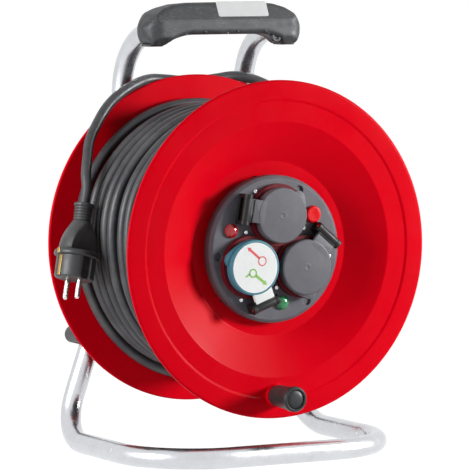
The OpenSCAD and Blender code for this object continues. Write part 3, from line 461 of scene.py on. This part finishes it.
# Each inner layer's radius, number of turns, first and last depth; the first starts at the gland
LAYERS = [(79.8, 9.5, 128.0, 27.5), (89.1, 11.5, 24.6, 143.4), (98.0, 12.2, 147.5, 20.5),
          (106.8, 13.0, 16.4, 151.6), (115.7, 13.6333, 155.8, 12.2)]
INNER_TURNS = sum(layer[1] for layer in LAYERS)
CLIMB = 0.2         # part of a turn in which the cord rises half way to the next layer
SHIFT = 0.3         # part of a turn in which it moves half way to that layer's depth
GLAND_ANGLE = 150
FIRST_R = 76.5      # radius of its first point, from which it eases out to the first layer

# The loose outer layer: its middle's radius, turns, first depth and pitch, and how its turns stray
OUTER_R = 124.5
OUTER_TURNS = 9
OUTER_START = 11
OUTER_PITCH = 15
DRIFT = [(0, 0), (0.25, 0.5), (1.25, 3.6), (2.25, 2.7), (3.25, 6.8), (4.25, 3.7), (5.25, 8.9),
         (6.25, 8.6), (7.25, 9.6), (8.25, 9.4), (8.6, 7), (9, 1), (9.2, 0), (10, 0)]

# The free end: angle, radius and depth round the rear flange, then right, depth and up to the plug
TAIL = [(10, 139.5, 158), (20, 143.5, 158), (30, 149.5, 157.5), (40, 157, 156), (48, 163, 154.5),
        (56, 166.5, 155), (63, 167, 159), (69, 166.5, 166), (74, 163.5, 172), (80, 157.5, 173.6),
        (87, 153.5, 173.5), (94, 154, 173.5), (101, 158.3, 173.3), (107, 163, 171.6), (113.5, 165.2, 165.5),
        (121.3, 165.6, 161.5), (128.2, 164, 158.6), (136.3, 160.8, 152.5)]
HANG = [(-125, 147, 98.5), (-131, 139.8, 83), (-135.8, 133.2, 68)]
PLUG_TOP = Vector((-141.2, 126, 40.6))
PLUG_WAY = Vector((-15, -10, -60)).normalized()
PLUG_ROLL = -8.0

INNER_STEPS = 24    # points in a turn
OUTER_STEPS = 96


def along(table, x):
    """A smooth value at x from a table of (x, value)."""
    if x <= table[0][0]:
        return table[0][1]
    for (a, va), (b, vb) in zip(table, table[1:]):
        if x <= b:
            return va + (vb - va) * smooth((x - a) / (b - a))
    return table[-1][1]


def inner_point(t):
    """Cord centre after t turns from the gland, layer by layer."""
    left = t
    for k, (r, turns, start, end) in enumerate(LAYERS):
        if left <= turns or k == len(LAYERS) - 1:
            break
        left -= turns
    share = left / turns
    depth = start + (end - start) * share
    r_next = LAYERS[k + 1][0] if k + 1 < len(LAYERS) else OUTER_R
    r += (r_next - r) * 0.5 * smooth((left - turns + CLIMB) / CLIMB)
    if k > 0:
        r_last, _, _, end_last = LAYERS[k - 1]
        r -= (LAYERS[k][0] - r_last) * 0.5 * (1 - smooth(left / CLIMB))
        depth += (end_last - start) * 0.5 * (1 - smooth(left / SHIFT))
    else:
        r = FIRST_R + (r - FIRST_R) * smooth(left / 0.12)
    if k + 1 < len(LAYERS):
        depth += (LAYERS[k + 1][2] - end) * 0.5 * smooth((left - turns + SHIFT) / SHIFT)
    a = math.radians(GLAND_ANGLE + 360 * t)
    return Vector((r * math.cos(a), depth, r * math.sin(a)))


def outer_point(t):
    """Cord centre after t turns of the outer layer, which ends beside the rear flange."""
    past = t - OUTER_TURNS
    angle = 90 + 360 * t
    around = angle % 360
    r = OUTER_R + 4.5 * smooth((past + 0.15) / 0.25) + 8.5 * smooth((past - 0.3) / 0.3)
    if t < CLIMB:
        r -= 4.4 * (1 - smooth(t / CLIMB))
    r += 5 * smooth((around - 55) / 35) * (1 - smooth((around - 150) / 40))    # slack over the top
    depth = OUTER_START + OUTER_PITCH * min(t, OUTER_TURNS) + 12.4 * smooth((past + 0.4) / 0.6)
    depth += along(DRIFT, t)
    if past < -0.5:
        depth += 0.7 * math.sin(5.1 * t) * smooth(t / 0.5)
    a = math.radians(angle)
    return Vector((r * math.cos(a), depth, r * math.sin(a)))


def through(points, parts):
    """A smooth curve through the points, with several parts between each two."""
    made = []
    for i in range(len(points) - 1):
        a = points[max(i - 1, 0)]
        b, c = points[i], points[i + 1]
        d = points[min(i + 2, len(points) - 1)]
        for k in range(parts):
            t = k / parts
            made.append(0.5 * (2 * b + (c - a) * t + (2 * a - 5 * b + 4 * c - d) * t * t
                               + (3 * b - a - 3 * c + d) * t * t * t))
    made.append(points[-1])
    return made


route = [inner_point(k / INNER_STEPS) for k in range(int(INNER_TURNS * INNER_STEPS))]
route += [outer_point(k / OUTER_STEPS) for k in range(int((OUTER_TURNS + 0.75) * OUTER_STEPS) + 1)]
tail = [route[-1]]
for angle, r, depth in TAIL:
    spot = polar(angle, r)
    tail.append(Vector((spot.x, depth, spot.y)))
tail += [Vector(p) for p in HANG] + [PLUG_TOP - 1.5 * CORD_D * PLUG_WAY, PLUG_TOP]
route += through(tail, 5)[1:]
route = [stand(*p) for p in route]

curve = bpy.data.curves.new("mains_cord", "CURVE")
curve.dimensions = "3D"
curve.bevel_depth = CORD_D / 2000
curve.bevel_resolution = 3
curve.use_fill_caps = True
line = curve.splines.new("POLY")
line.points.add(len(route) - 1)
for spot, p in zip(line.points, route):
    spot.co = (*p, 1)
line.use_smooth = True
curve.materials.append(cord_rubber)
cord = bpy.data.objects.new("mains_cord", curve)
scene.collection.objects.link(cord)
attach(cord, "drum")
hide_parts("cord_core", "cord_winding", "cord_tail")


# ---- Plug --------------------------------------------------------------

# The plug's frame: Z along it from the cord to the pins' tips, and the pins side by side in Y
plug_x = Vector((0, 1, 0)).cross(PLUG_WAY).normalized()
plug_y = PLUG_WAY.cross(plug_x)
PLUG = STAND @ Matrix((
    (plug_x.x, plug_y.x, PLUG_WAY.x, PLUG_TOP.x),
    (plug_x.y, plug_y.y, PLUG_WAY.y, PLUG_TOP.y),
    (plug_x.z, plug_y.z, PLUG_WAY.z, PLUG_TOP.z),
    (0, 0, 0, 1))) @ Matrix.Rotation(math.radians(PLUG_ROLL), 4, "Z")
PLUG_R = 19.0       # round part that goes into the socket
RELIEF_RIBS = 5

bm = bmesh.new()
profile = [(0, 0), (5.6, 0), (9.0, 0.2), (9.8, 0.9), (9.8, 2.6), (9.2, 3.4), (8.0, 3.5)]
for k in range(RELIEF_RIBS):
    z = 4.2 + 2.7 * k
    r = 8.9 - 0.1 * k
    profile += [(r, z), (r, z + 1.5), (r - 1.0, z + 1.7), (r - 1.0, z + 2.5)]
profile += [(8.4, 18), (0, 18)]
lathe(bm, rounded(profile, 0.25, 2), 64, closed=False)
relief = piece("plug_relief_dressed", bm, PLUG, plug_rubber, "drum", ["plug_relief"])


def plug_ring(z, r, flat=math.inf, notch=0.0, slot=0.0, n=144):
    """A ring of the plug's body, with flats front and back, or guide notches and earth slots."""
    made = []
    for k in range(n):
        x, y = polar(360 * k / n, r)
        if abs(y) > flat:
            over = (abs(y) - flat) / max(r - flat, 0.1)
            y = math.copysign(flat + 0.35 * over, y)
        if notch and abs(x) < 4.7 and abs(y) > r * 0.5:
            y = math.copysign(min(abs(y), r - notch), y)
        if slot and abs(y) < 2.6 and abs(x) > r * 0.5:
            x = math.copysign(min(abs(x), r - slot), x)
        made.append(Vector((x, y, z)))
    return made


bm = bmesh.new()
FLARE = [(20.5, 10.2), (24.0, 12.2), (28.0, 14.3), (32.0, 16.0), (36.0, 17.2), (40.0, 18.0), (44.0, 18.5),
         (46.4, 18.6)]
COLLAR = [(46.8, 18.8), (47.6, 20.6), (48.2, 21.5), (49.0, 22.0), (51.6, 22.0), (52.4, 21.6), (52.9, 20.8),
          (53.0, PLUG_R)]
rings = [plug_ring(17.2, 8.0), plug_ring(18.0, 9.0)]
rings += [plug_ring(z, r, flat=10.6) for z, r in FLARE]
rings += [plug_ring(z, r) for z, r in COLLAR]
rings += [plug_ring(z, PLUG_R, notch=2.6, slot=2.4) for z in (53.05, 60, 66, 71.6)]
rings += [plug_ring(73.0, 18.6, notch=2.2, slot=2.0), plug_ring(73.8, 17.6, notch=1.2, slot=1.0),
          plug_ring(74.0, 16.4), plug_ring(74.0, 8.0)]
loft(bm, rings)
plug_body = piece("plug_body_dressed", bm, PLUG, plug_rubber, "drum", ["plug_body"], sharp=32)

bm = bmesh.new()
crosswise = Matrix.Rotation(math.pi / 2, 4, "Z")
for s in (-1, 1):
    block(bm, box_outline(-1.9, -0.7, 1.9, 0.7, 0.5), 47.2, 52.4, 0.4,
          matrix=Matrix.Translation((s * 21.9, 0, 0)) @ crosswise)
    block(bm, box_outline(-2.2, -0.5, 2.2, 0.5, 0.3), 53.2, 73.0, 0.3,
          matrix=Matrix.Translation((s * 18.3, 0, 0)) @ crosswise)
clips = piece("plug_earth_dressed", bm, PLUG, brass, "drum", ["plug_earth"])

bm = bmesh.new()
PIN_SPACE = 19.0
profile = rounded([(0, 62), (2.0, 62), (2.0, 74.0), (2.4, 74.1), (2.4, 91.0), (1.3, 93.0), (0, 93.0)],
                  [0, 0, 0, 0, 1.2, 0.8, 0], 4)
for s in (-1, 1):
    lathe(bm, profile, 24, closed=False, matrix=Matrix.Translation((0, s * PIN_SPACE / 2, 0)))
pins = piece("plug_pins_dressed", bm, PLUG, pin_nickel, "drum", ["plug_pins"])


# ---- Flanges -----------------------------------------------------------

def flange_profile(hole_r):
    """Half section of a flange, radius and height, from its hole round the rim and back."""
    outline = [(hole_r, -19), (83, -19), (121, -1.2), (140, -1.2), (142, 0), (158, 0), (160, -1.0),
               (160, -3.0), (159, -4), (122, -4.2), (84, -22), (hole_r, -22)]
    radii = [0.5, 4, 3, 0.7, 0.7, 1.6, 1.2, 1.2, 0.8, 12, 6, 0.5]
    return rounded(outline, radii, 5, closed=True)


bm = bmesh.new()
lathe(bm, flange_profile(64), 288)
knob_seat = Matrix.Rotation(math.radians(KNOB_ANGLE), 4, "Z") @ Matrix.Translation((KNOB_R, 0, 0))
lathe(bm, rounded([(0, -4.2), (11, -4.2), (11, 2.2), (0, 2.2)], [0, 0.5, 1.0, 0], 4), 64, closed=False,
      matrix=knob_seat)
piece("front_flange_dressed", bm, DRUM, flange_red, "drum", ["front_flange"])

bm = bmesh.new()
mirrored = Matrix.Translation((0, 0, -DRUM_DEPTH)) @ Matrix.Scale(-1, 4, (0, 0, 1))
lathe(bm, flange_profile(22), 288, matrix=mirrored)
piece("rear_flange_dressed", bm, DRUM, flange_red, "drum", ["rear_flange"])


# ---- Lids --------------------------------------------------------------

# A lid's own frame: its middle is the socket's, and its hinge pin lies at x = REACH
LID_TURN = 82
LID_LOW = -1.5
TOP = 6.5
FACE = TOP - 0.12
LID_R = 26.3
REACH = 38.0
COVER = REACH - 7.0
INK_LOW = FACE + 0.15
INK_TOP = FACE + 0.27
PICTURE_LID = 2     # the lid with the picture sticker
to_lid = Matrix.Rotation(math.radians(-(socket_angle(PICTURE_LID) + LID_TURN)), 2)


def at_lid(i):
    """The frame of lid i."""
    return turned(socket_angle(i), SOCKET_R) @ Matrix.Rotation(math.radians(LID_TURN), 4, "Z")


def ink_arrow(bm, start, end, width):
    """A flat bar with a pointed head on the sticker, its ends given right and up from the socket."""
    start, end = to_lid @ Vector(start), to_lid @ Vector(end)
    way = (end - start).normalized()
    side = Vector((-way.y, way.x))
    neck = end - way * width * 1.6
    half = side * width / 2
    bar = [start - half, neck - half, neck + half, start + half]
    head = [neck - side * width, end, neck + side * width]
    for outline in (bar, head):
        block(bm, outline, INK_LOW, INK_TOP)


def ink_ring(bm, x, y, inner, outer):
    """A flat ring on the sticker."""
    spot = to_lid @ Vector((x, y))
    lathe(bm, [(inner, INK_LOW), (outer, INK_LOW), (outer, INK_TOP), (inner, INK_TOP)], 48,
          matrix=Matrix.Translation((spot.x, spot.y, 0)))


cap = [(0, TOP - 0.25), (2.0, TOP - 0.25), (2.3, TOP), (3.4, TOP), (3.7, FACE), (LID_R - 1.0, FACE),
       (LID_R, TOP - 1.1), (LID_R, LID_LOW), (LID_R - 3, LID_LOW), (LID_R - 3, TOP - 2.5), (0, TOP - 2.5)]
cap = rounded(cap, [0, 0.1, 0.1, 0.1, 0.1, 0.8, 0.8, 0.4, 0.3, 0.8, 0], 4)
finger_tab = [polar(170 + 6 * k, LID_R - 1.0) for k in range(14)]
finger_tab += [polar(angle, LID_R + out) for angle, out in (
    (243, 2.5), (236, 4.6), (228, 4.8), (221, 3.6), (210, 1.8), (196, 0.5), (182, 0))]
knuckle = rounded([(0, -11.4), (4.2, -11.4), (4.2, 11.4), (0, 11.4)], [0, 0.5, 0.5, 0], 3)
for i in range(3):
    name = f"lid_{i + 1}"
    material, slot = (lid_teal, "lid_blue") if i == PICTURE_LID else (lid_grey, "lid_grey")
    bm = bmesh.new()
    lathe(bm, cap, 144, closed=False)
    if i != PICTURE_LID:
        block(bm, box_outline(19.5, -11.0, COVER + 1, 11.0, 0.8), TOP - 4.0, TOP - 0.35, 0.5)
    block(bm, finger_tab, LID_LOW + 1, LID_LOW + 5.2, 0.5)
    piece(f"{name}_dressed", bm, at_lid(i), material, name, [name])
    bm = bmesh.new()
    block(bm, box_outline(COVER, -11.4, REACH + 2.6, 11.4, 0.8), -2.0, TOP - 1.2, 0.8)
    lathe(bm, knuckle, 32, closed=False,
          matrix=Matrix.Translation((REACH, 0, 2.5)) @ Matrix.Rotation(math.pi / 2, 4, "X"))
    piece(f"{name}_hinge_cover", bm, at_lid(i), hinge_black, name)

bm = bmesh.new()
lathe(bm, [(0, FACE), (LID_R - 2.6, FACE), (LID_R - 2.6, INK_LOW), (0, INK_LOW)], 144, closed=False)
block(bm, box_outline(19.5, -10.2, COVER + 2.5, 10.2, 0.8), TOP - 4.0, TOP - 0.4, 0.5)
piece("lid_3_sticker", bm, at_lid(PICTURE_LID), sticker_white, "lid_3")
bm = bmesh.new()
ink_arrow(bm, (4.5, 8.6), (-8.6, 19.6), 2.3)
ink_ring(bm, 7.4, 6.0, 3.6, 4.6)
piece("sticker_arrow_red", bm, at_lid(PICTURE_LID), sticker_red, "lid_3")
bm = bmesh.new()
ink_arrow(bm, (0.6, -7.4), (12.4, -16.6), 2.6)
ink_ring(bm, -2.6, -5.0, 2.9, 4.3)
block(bm, [to_lid @ Vector(p) for p in ((-10.8, -7.6), (-10.2, -9.0), (-5.6, -6.2), (-6.2, -4.8))],
      INK_LOW, INK_TOP)
piece("sticker_arrow_green", bm, at_lid(PICTURE_LID), sticker_green, "lid_3")


# ---- Crank knob --------------------------------------------------------

CRANK = turned(KNOB_ANGLE, KNOB_R, z=2.5)
bm = bmesh.new()
profile = [(4.3, 0), (9.6, 0), (10.2, 0.6), (10.6, 8), (11.0, 20), (11.4, 28.6), (12, 29.4), (12, 33.4),
           (11, 34.8), (9.6, 34.8), (9.1, 34.2), (9.1, 32.1), (6.4, 32.0), (6.4, 27), (4.3, 27)]
radii = [0.2, 0.5, 0.4, 3, 3, 0.3, 0.4, 0.9, 0.6, 0.5, 0.3, 0.2, 0.2, 0.2, 0.2]
lathe(bm, rounded(profile, radii, 4, closed=True), 96)
piece("crank_knob_dressed", bm, CRANK, knob_black, "crank_knob", ["crank_knob"])
bm = bmesh.new()
lathe(bm, rounded([(0, 32), (8.9, 32), (8.9, 33.3), (6, 34.4), (0, 35.0)], [0, 0.3, 1.5, 6, 0], 5), 72,
      closed=False)
piece("knob_cap_dressed", bm, CRANK, knob_black, "crank_knob", ["knob_cap"])


# ---- Lamps and reset button --------------------------------------------

LAMP_SIDES = 12     # facets round a lamp's cap
collar = [(0, PANEL - 4), (5.6, PANEL - 4), (5.6, PANEL), (6.8, PANEL), (6.8, PANEL + 1.4),
          (6.2, PANEL + 1.9), (0, PANEL + 1.9)]
for i, tint, material in ((0, "red", lens_red), (2, "green", lens_green)):
    bm = bmesh.new()
    lathe(bm, rounded(collar, 0.2, 3), 48, closed=False)
    rings = []
    for k in range(5):
        rise = polar(18 * k, 1)
        facets = [polar(360 * (m + 0.5 * (k % 2)) / LAMP_SIDES, 6.4 * rise.x) for m in range(LAMP_SIDES)]
        rings.append([Vector((p.x, p.y, PANEL + 1.6 + 3.2 * rise.y)) for p in facets])
    loft(bm, rings)
    piece(f"lamp_{tint}_dressed", bm, turned(lamp_angle(i), LAMP_R), material, "drum",
          [f"lamp_{tint}"], sharp=15)

BUTTON_R = 8.1
bm = bmesh.new()
button = [(0, PANEL - 6), (BUTTON_R + 0.6, PANEL - 6), (BUTTON_R + 0.6, PANEL - 3.1), (BUTTON_R, PANEL - 3.1),
          (BUTTON_R, PANEL + 2.4), (BUTTON_R - 1.5, PANEL + 3.4), (2.5, PANEL + 3.1), (0, PANEL + 3.0)]
lathe(bm, rounded(button, [0, 0.3, 0.3, 0.2, 1.0, 1.2, 1, 0], 4), 72, closed=False)
stem = [(0, PANEL - 14), (2, PANEL - 14), (2, PANEL - 5.5), (0, PANEL - 5.5)]
lathe(bm, rounded(stem, 0.3, 2), 24, closed=False)
piece("reset_button_dressed", bm, turned(lamp_angle(1), LAMP_R), button_red, "reset_button",
      ["reset_button"])


# ---- Grip --------------------------------------------------------------

# The grip's convex outline seen from its end, as depth and height, clockwise
SIDE = [(97.5, 197.5), (97.5, 214.0), (106.5, 232.5), (112, 232.5), (122, 229), (136, 218.5), (136, 189.5),
        (105.5, 189.5)]
# Its upper and lower outlines from the front, as distance from the middle and height
TOP_EDGE = rounded([(0, 231.3), (38.5, 231), (54.5, 229.5), (66.5, 226), (75.5, 220.5), (82.5, 213),
                    (86.5, 208.5)], 16)
LOW_EDGE = rounded([(0, 200.5), (44, 200.4), (59, 195.8), (66, 190), (76.5, 189.4), (83.5, 197), (86.3, 205),
                    (86.5, 208.4)], [0, 60, 30, 8, 9, 12, 6, 0], 8)
BAR_DEPTH, BAR_R, BAR_END = 115, 17.5, 69           # the straight bar, and where its round ends start
ELBOW_DEPTH, ELBOW_R, ELBOW_X = 117, 19, 67.5       # the round bulge at the back of each elbow
EDGE_R = 5.5

# A point and the outward normal of each of the outline's sides
SIDE_PLANES = []
for i, p in enumerate(SIDE):
    way = (Vector(SIDE[(i + 1) % len(SIDE)]) - Vector(p)).normalized()
    SIDE_PLANES.append((Vector(p), Vector((-way.y, way.x))))


def straight(table, x):
    """A value at x on straight lines through a table of (x, value)."""
    for (a, va), (b, vb) in zip(table, table[1:]):
        if x <= b:
            return va + (vb - va) * (x - a) / (b - a)
    return table[-1][1]


def chord(off, r):
    """Half a circle's chord at this distance from its middle, 0 outside the circle."""
    return math.sqrt(max(0.0, r * r - off * off))


def clip(polygon, point, normal):
    """The part of a convex polygon behind a line."""
    made = []
    for i, p in enumerate(polygon):
        q = polygon[(i + 1) % len(polygon)]
        dp, dq = (p - point).dot(normal), (q - point).dot(normal)
        if dp <= 0:
            made.append(p)
        if (dp < 0 < dq) or (dq < 0 < dp):
            made.append(p.lerp(q, dp / (dp - dq)))
    return made


def outside(polygon, p):
    """Distance of p from a convex, anticlockwise polygon, 0 inside."""
    best = math.inf
    inside = True
    for i, a in enumerate(polygon):
        way = polygon[(i + 1) % len(polygon)] - a
        if way.length < 1e-9:
            continue
        if way.x * (p.y - a.y) - way.y * (p.x - a.x) < 0:
            inside = False
        t = max(0.0, min(1.0, (p - a).dot(way) / way.length_squared))
        best = min(best, (p - a - way * t).length)
    return 0.0 if inside else best


def section(x, n=96):
    """The grip's rounded section at x as n points in depth and height, None past its ends."""
    top, under = straight(TOP_EDGE, abs(x)), straight(LOW_EDGE, abs(x))
    half = chord(max(0.0, abs(x) - BAR_END), BAR_R)
    front = BAR_DEPTH - half
    back = max(BAR_DEPTH + half, ELBOW_DEPTH + chord(abs(x) - ELBOW_X, ELBOW_R))
    edge = max(0.2, min(EDGE_R, 0.42 * min(back - front, top - under)))
    cuts = [((0, top), (0, 1)), ((0, under), (0, -1)), ((front, 0), (-1, 0)), ((back, 0), (1, 0))]
    polygon = [Vector(p) for p in ((0, 0), (300, 0), (300, 300), (0, 300))]
    for point, normal in SIDE_PLANES + [(Vector(p), Vector(q)) for p, q in cuts]:
        polygon = clip(polygon, point - normal * edge, normal)
        if not polygon:
            return None
    middle = sum(polygon, Vector((0, 0))) / len(polygon)
    made = []
    for k in range(n):
        way = polar(360 * k / n, 1)
        low, high = 0.0, 80.0
        for _ in range(20):
            half = (low + high) / 2
            if outside(polygon, middle + way * half) < edge:
                low = half
            else:
                high = half
        made.append(middle + way * low)
    return made


def facing(x, depth, z):
    """A frame at a place on the stand whose Z comes out to the front."""
    return Matrix.Translation((x, depth, z)) @ FORWARD


rings = []
ends = [86.4, 86.1, 85.6, 85, 84, 83, 82, 81, 80, 79, 78, 77, 76, 74.5, 73]
stations = [-x for x in ends] + list(range(-72, 73)) + ends[::-1]
for x in stations:
    outline = section(x)
    if outline:
        rings.append([Vector((x, p.x, p.y)) for p in outline])
bm = bmesh.new()
loft(bm, rings)
piece("grip_dressed", bm, STAND, grip_black, "frame", ["grip_upper", "grip_lower"], sharp=60)

# Round eye under the right end, the lips under both elbows, and the holes and slot in the front, whose
# near-black discs are painted shade
EYE = (54.5, 101.5, 197.5)
bm = bmesh.new()
lathe(bm, rounded([(2.3, -3), (5.2, -3), (5.2, 1.2), (4.6, 1.8), (2.9, 1.8), (2.3, 1.2)], 0.4, 3), 48,
      matrix=facing(*EYE))
for s in (-1, 1):
    block(bm, box_outline(-8, -9, 8, 9, 3), -1.2, 1.0, 0.5,
          matrix=Matrix.Translation((s * 72.5, 117.5, 190.6)))
piece("grip_eye", bm, STAND, grip_black, "frame")
# Shallow near-black discs in the three holes and the eye, and a near-black block in the slot: painted shade
# of the holes
bm = bmesh.new()
HOLE_DEPTH, HOLE_H = 97.6, 203.8
holes = [((x, HOLE_DEPTH, HOLE_H), 1.5) for x in (-24.5, 11.2, 41.6)]
holes.append(((EYE[0], EYE[1] - 0.7, EYE[2]), 2.35))
for spot, r in holes:
    lathe(bm, [(0, -0.5), (r, -0.5), (r, 0.25), (r - 0.4, 0.25), (r - 0.6, -0.1), (0, -0.1)], 24,
          closed=False, matrix=facing(*spot))
block(bm, box_outline(-1.1, -3.4, 1.1, 3.4, 1.0), -0.6, 0.3, matrix=facing(72.4, 98.6, 199.0))
piece("grip_holes", bm, STAND, inner_black_and_hole_shade, "frame")


# ---- CAD nodes that stay, with their finish ----------------------------

FINISHES = {
    "tube_frame": steel, "tube_spigot": zinc, "grip_screws": dark_steel, "label_plate": label_white,
    "axle_carrier": carrier_black, "clamp_bar_upper": carrier_black, "clamp_bar_lower": carrier_black,
    "clamp_bolts": zinc, "clamp_nuts": zinc, "axle": zinc, "axle_nut": zinc, "axle_washer": bright,
    "axle_retainer": dark_steel, "barrel": flange_red, "drum_bolts": zinc, "bearing_tube": inner_black_and_hole_shade,
    "bush_front": bush_cream, "bush_rear": bush_cream, "hub_panel": panel_grey, "panel_screws": bright,
    "socket_insert": maroon, "pin_sleeves": brass, "earth_clips": brass, "hinge_blocks": hinge_black,
    "cutout_body": inner_black_and_hole_shade, "terminal_block": terminal_grey, "cable_gland": gland_black,
    "crank_pin": zinc,
}
for i in (1, 2, 3):
    FINISHES |= {f"socket_well_{i}": well_black, f"lid_pin_{i}": bright, f"lid_seal_{i}": seal_rubber}
for name, material in FINISHES.items():
    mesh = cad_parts[name].data
    if not mesh.materials:
        mesh.materials.append(material)
    for k in range(len(mesh.materials)):
        mesh.materials[k] = material


# ---- Floor, world and lights -------------------------------------------

FLOOR_HALF = 45     # metres, so the floor runs past the picture's edges
FLOOR_GLOW = 1.37   # brightness of the part of the floor that is seen as plain white
GLOW_SHARE = 0.72
DIM_SKY = 0.04      # the sky's strength as light; seen or mirrored it is white
TARGET = (0, 0, 0.2)

bm = bmesh.new()
for x, y in ((-1, -1), (1, -1), (1, 1), (-1, 1)):
    bm.verts.new((x * FLOOR_HALF, y * FLOOR_HALF, 0))
bm.faces.new(bm.verts)
mesh = bpy.data.meshes.new("floor")
bm.to_mesh(mesh)
bm.free()
floor = bpy.data.objects.new("floor", mesh)
scene.collection.objects.link(floor)
g = Graph("floor_white")
g.link(g.mix(g.noise(2.0, detail=2.0), (0.5, 0.5, 0.5), (0.54, 0.54, 0.54)), g.shader.inputs["Base Color"])
g.shader.inputs["Roughness"].default_value = 0.9
g.shader.inputs["Specular IOR Level"].default_value = 0.1
glow = g.node("ShaderNodeEmission")
glow.inputs["Strength"].default_value = FLOOR_GLOW
blend = g.node("ShaderNodeMixShader")
rays = g.node("ShaderNodeLightPath")
seen = g.maths("MAXIMUM", rays.outputs["Is Camera Ray"], rays.outputs["Is Glossy Ray"])
g.link(g.maths("MULTIPLY", seen, GLOW_SHARE), blend.inputs[0])
g.link(g.shader.outputs[0], blend.inputs[1])
g.link(glow.outputs[0], blend.inputs[2])
g.link(blend.outputs[0], g.out.inputs[0])
mesh.materials.append(g.material)

world = bpy.data.worlds.new("studio")
scene.world = world
world.use_nodes = True
tree = world.node_tree
sky = tree.nodes["Background"]
sky.inputs[0].default_value = (1, 1, 1, 1)
rays = tree.nodes.new("ShaderNodeLightPath")
seen = tree.nodes.new("ShaderNodeMath")
seen.operation = "MAXIMUM"
level = tree.nodes.new("ShaderNodeMapRange")
level.inputs["To Min"].default_value = DIM_SKY
level.inputs["To Max"].default_value = 1.0
tree.links.new(rays.outputs["Is Camera Ray"], seen.inputs[0])
tree.links.new(rays.outputs["Is Glossy Ray"], seen.inputs[1])
tree.links.new(seen.outputs[0], level.inputs["Value"])
tree.links.new(level.outputs[0], sky.inputs[1])


def disc_lamp(name, spot, size, power, soft_gloss=False):
    """A round lamp aimed at the reel; one for soft gloss shows only as a broad sheen."""
    data = bpy.data.lights.new(name, "AREA")
    data.shape = "DISK"
    data.size = size
    data.energy = power
    lamp = bpy.data.objects.new(name, data)
    scene.collection.objects.link(lamp)
    lamp.location = spot
    lamp.rotation_euler = (Vector(TARGET) - Vector(spot)).to_track_quat("-Z", "Y").to_euler()
    lamp.visible_diffuse = not soft_gloss


disc_lamp("key", (1.36, -1.0, 0.48), 0.45, 33)
disc_lamp("sheen", (1.2, -0.98, 0.8), 1.1, 15, soft_gloss=True)
disc_lamp("fill", (-1.6, -0.16, 0.6), 0.9, 25)
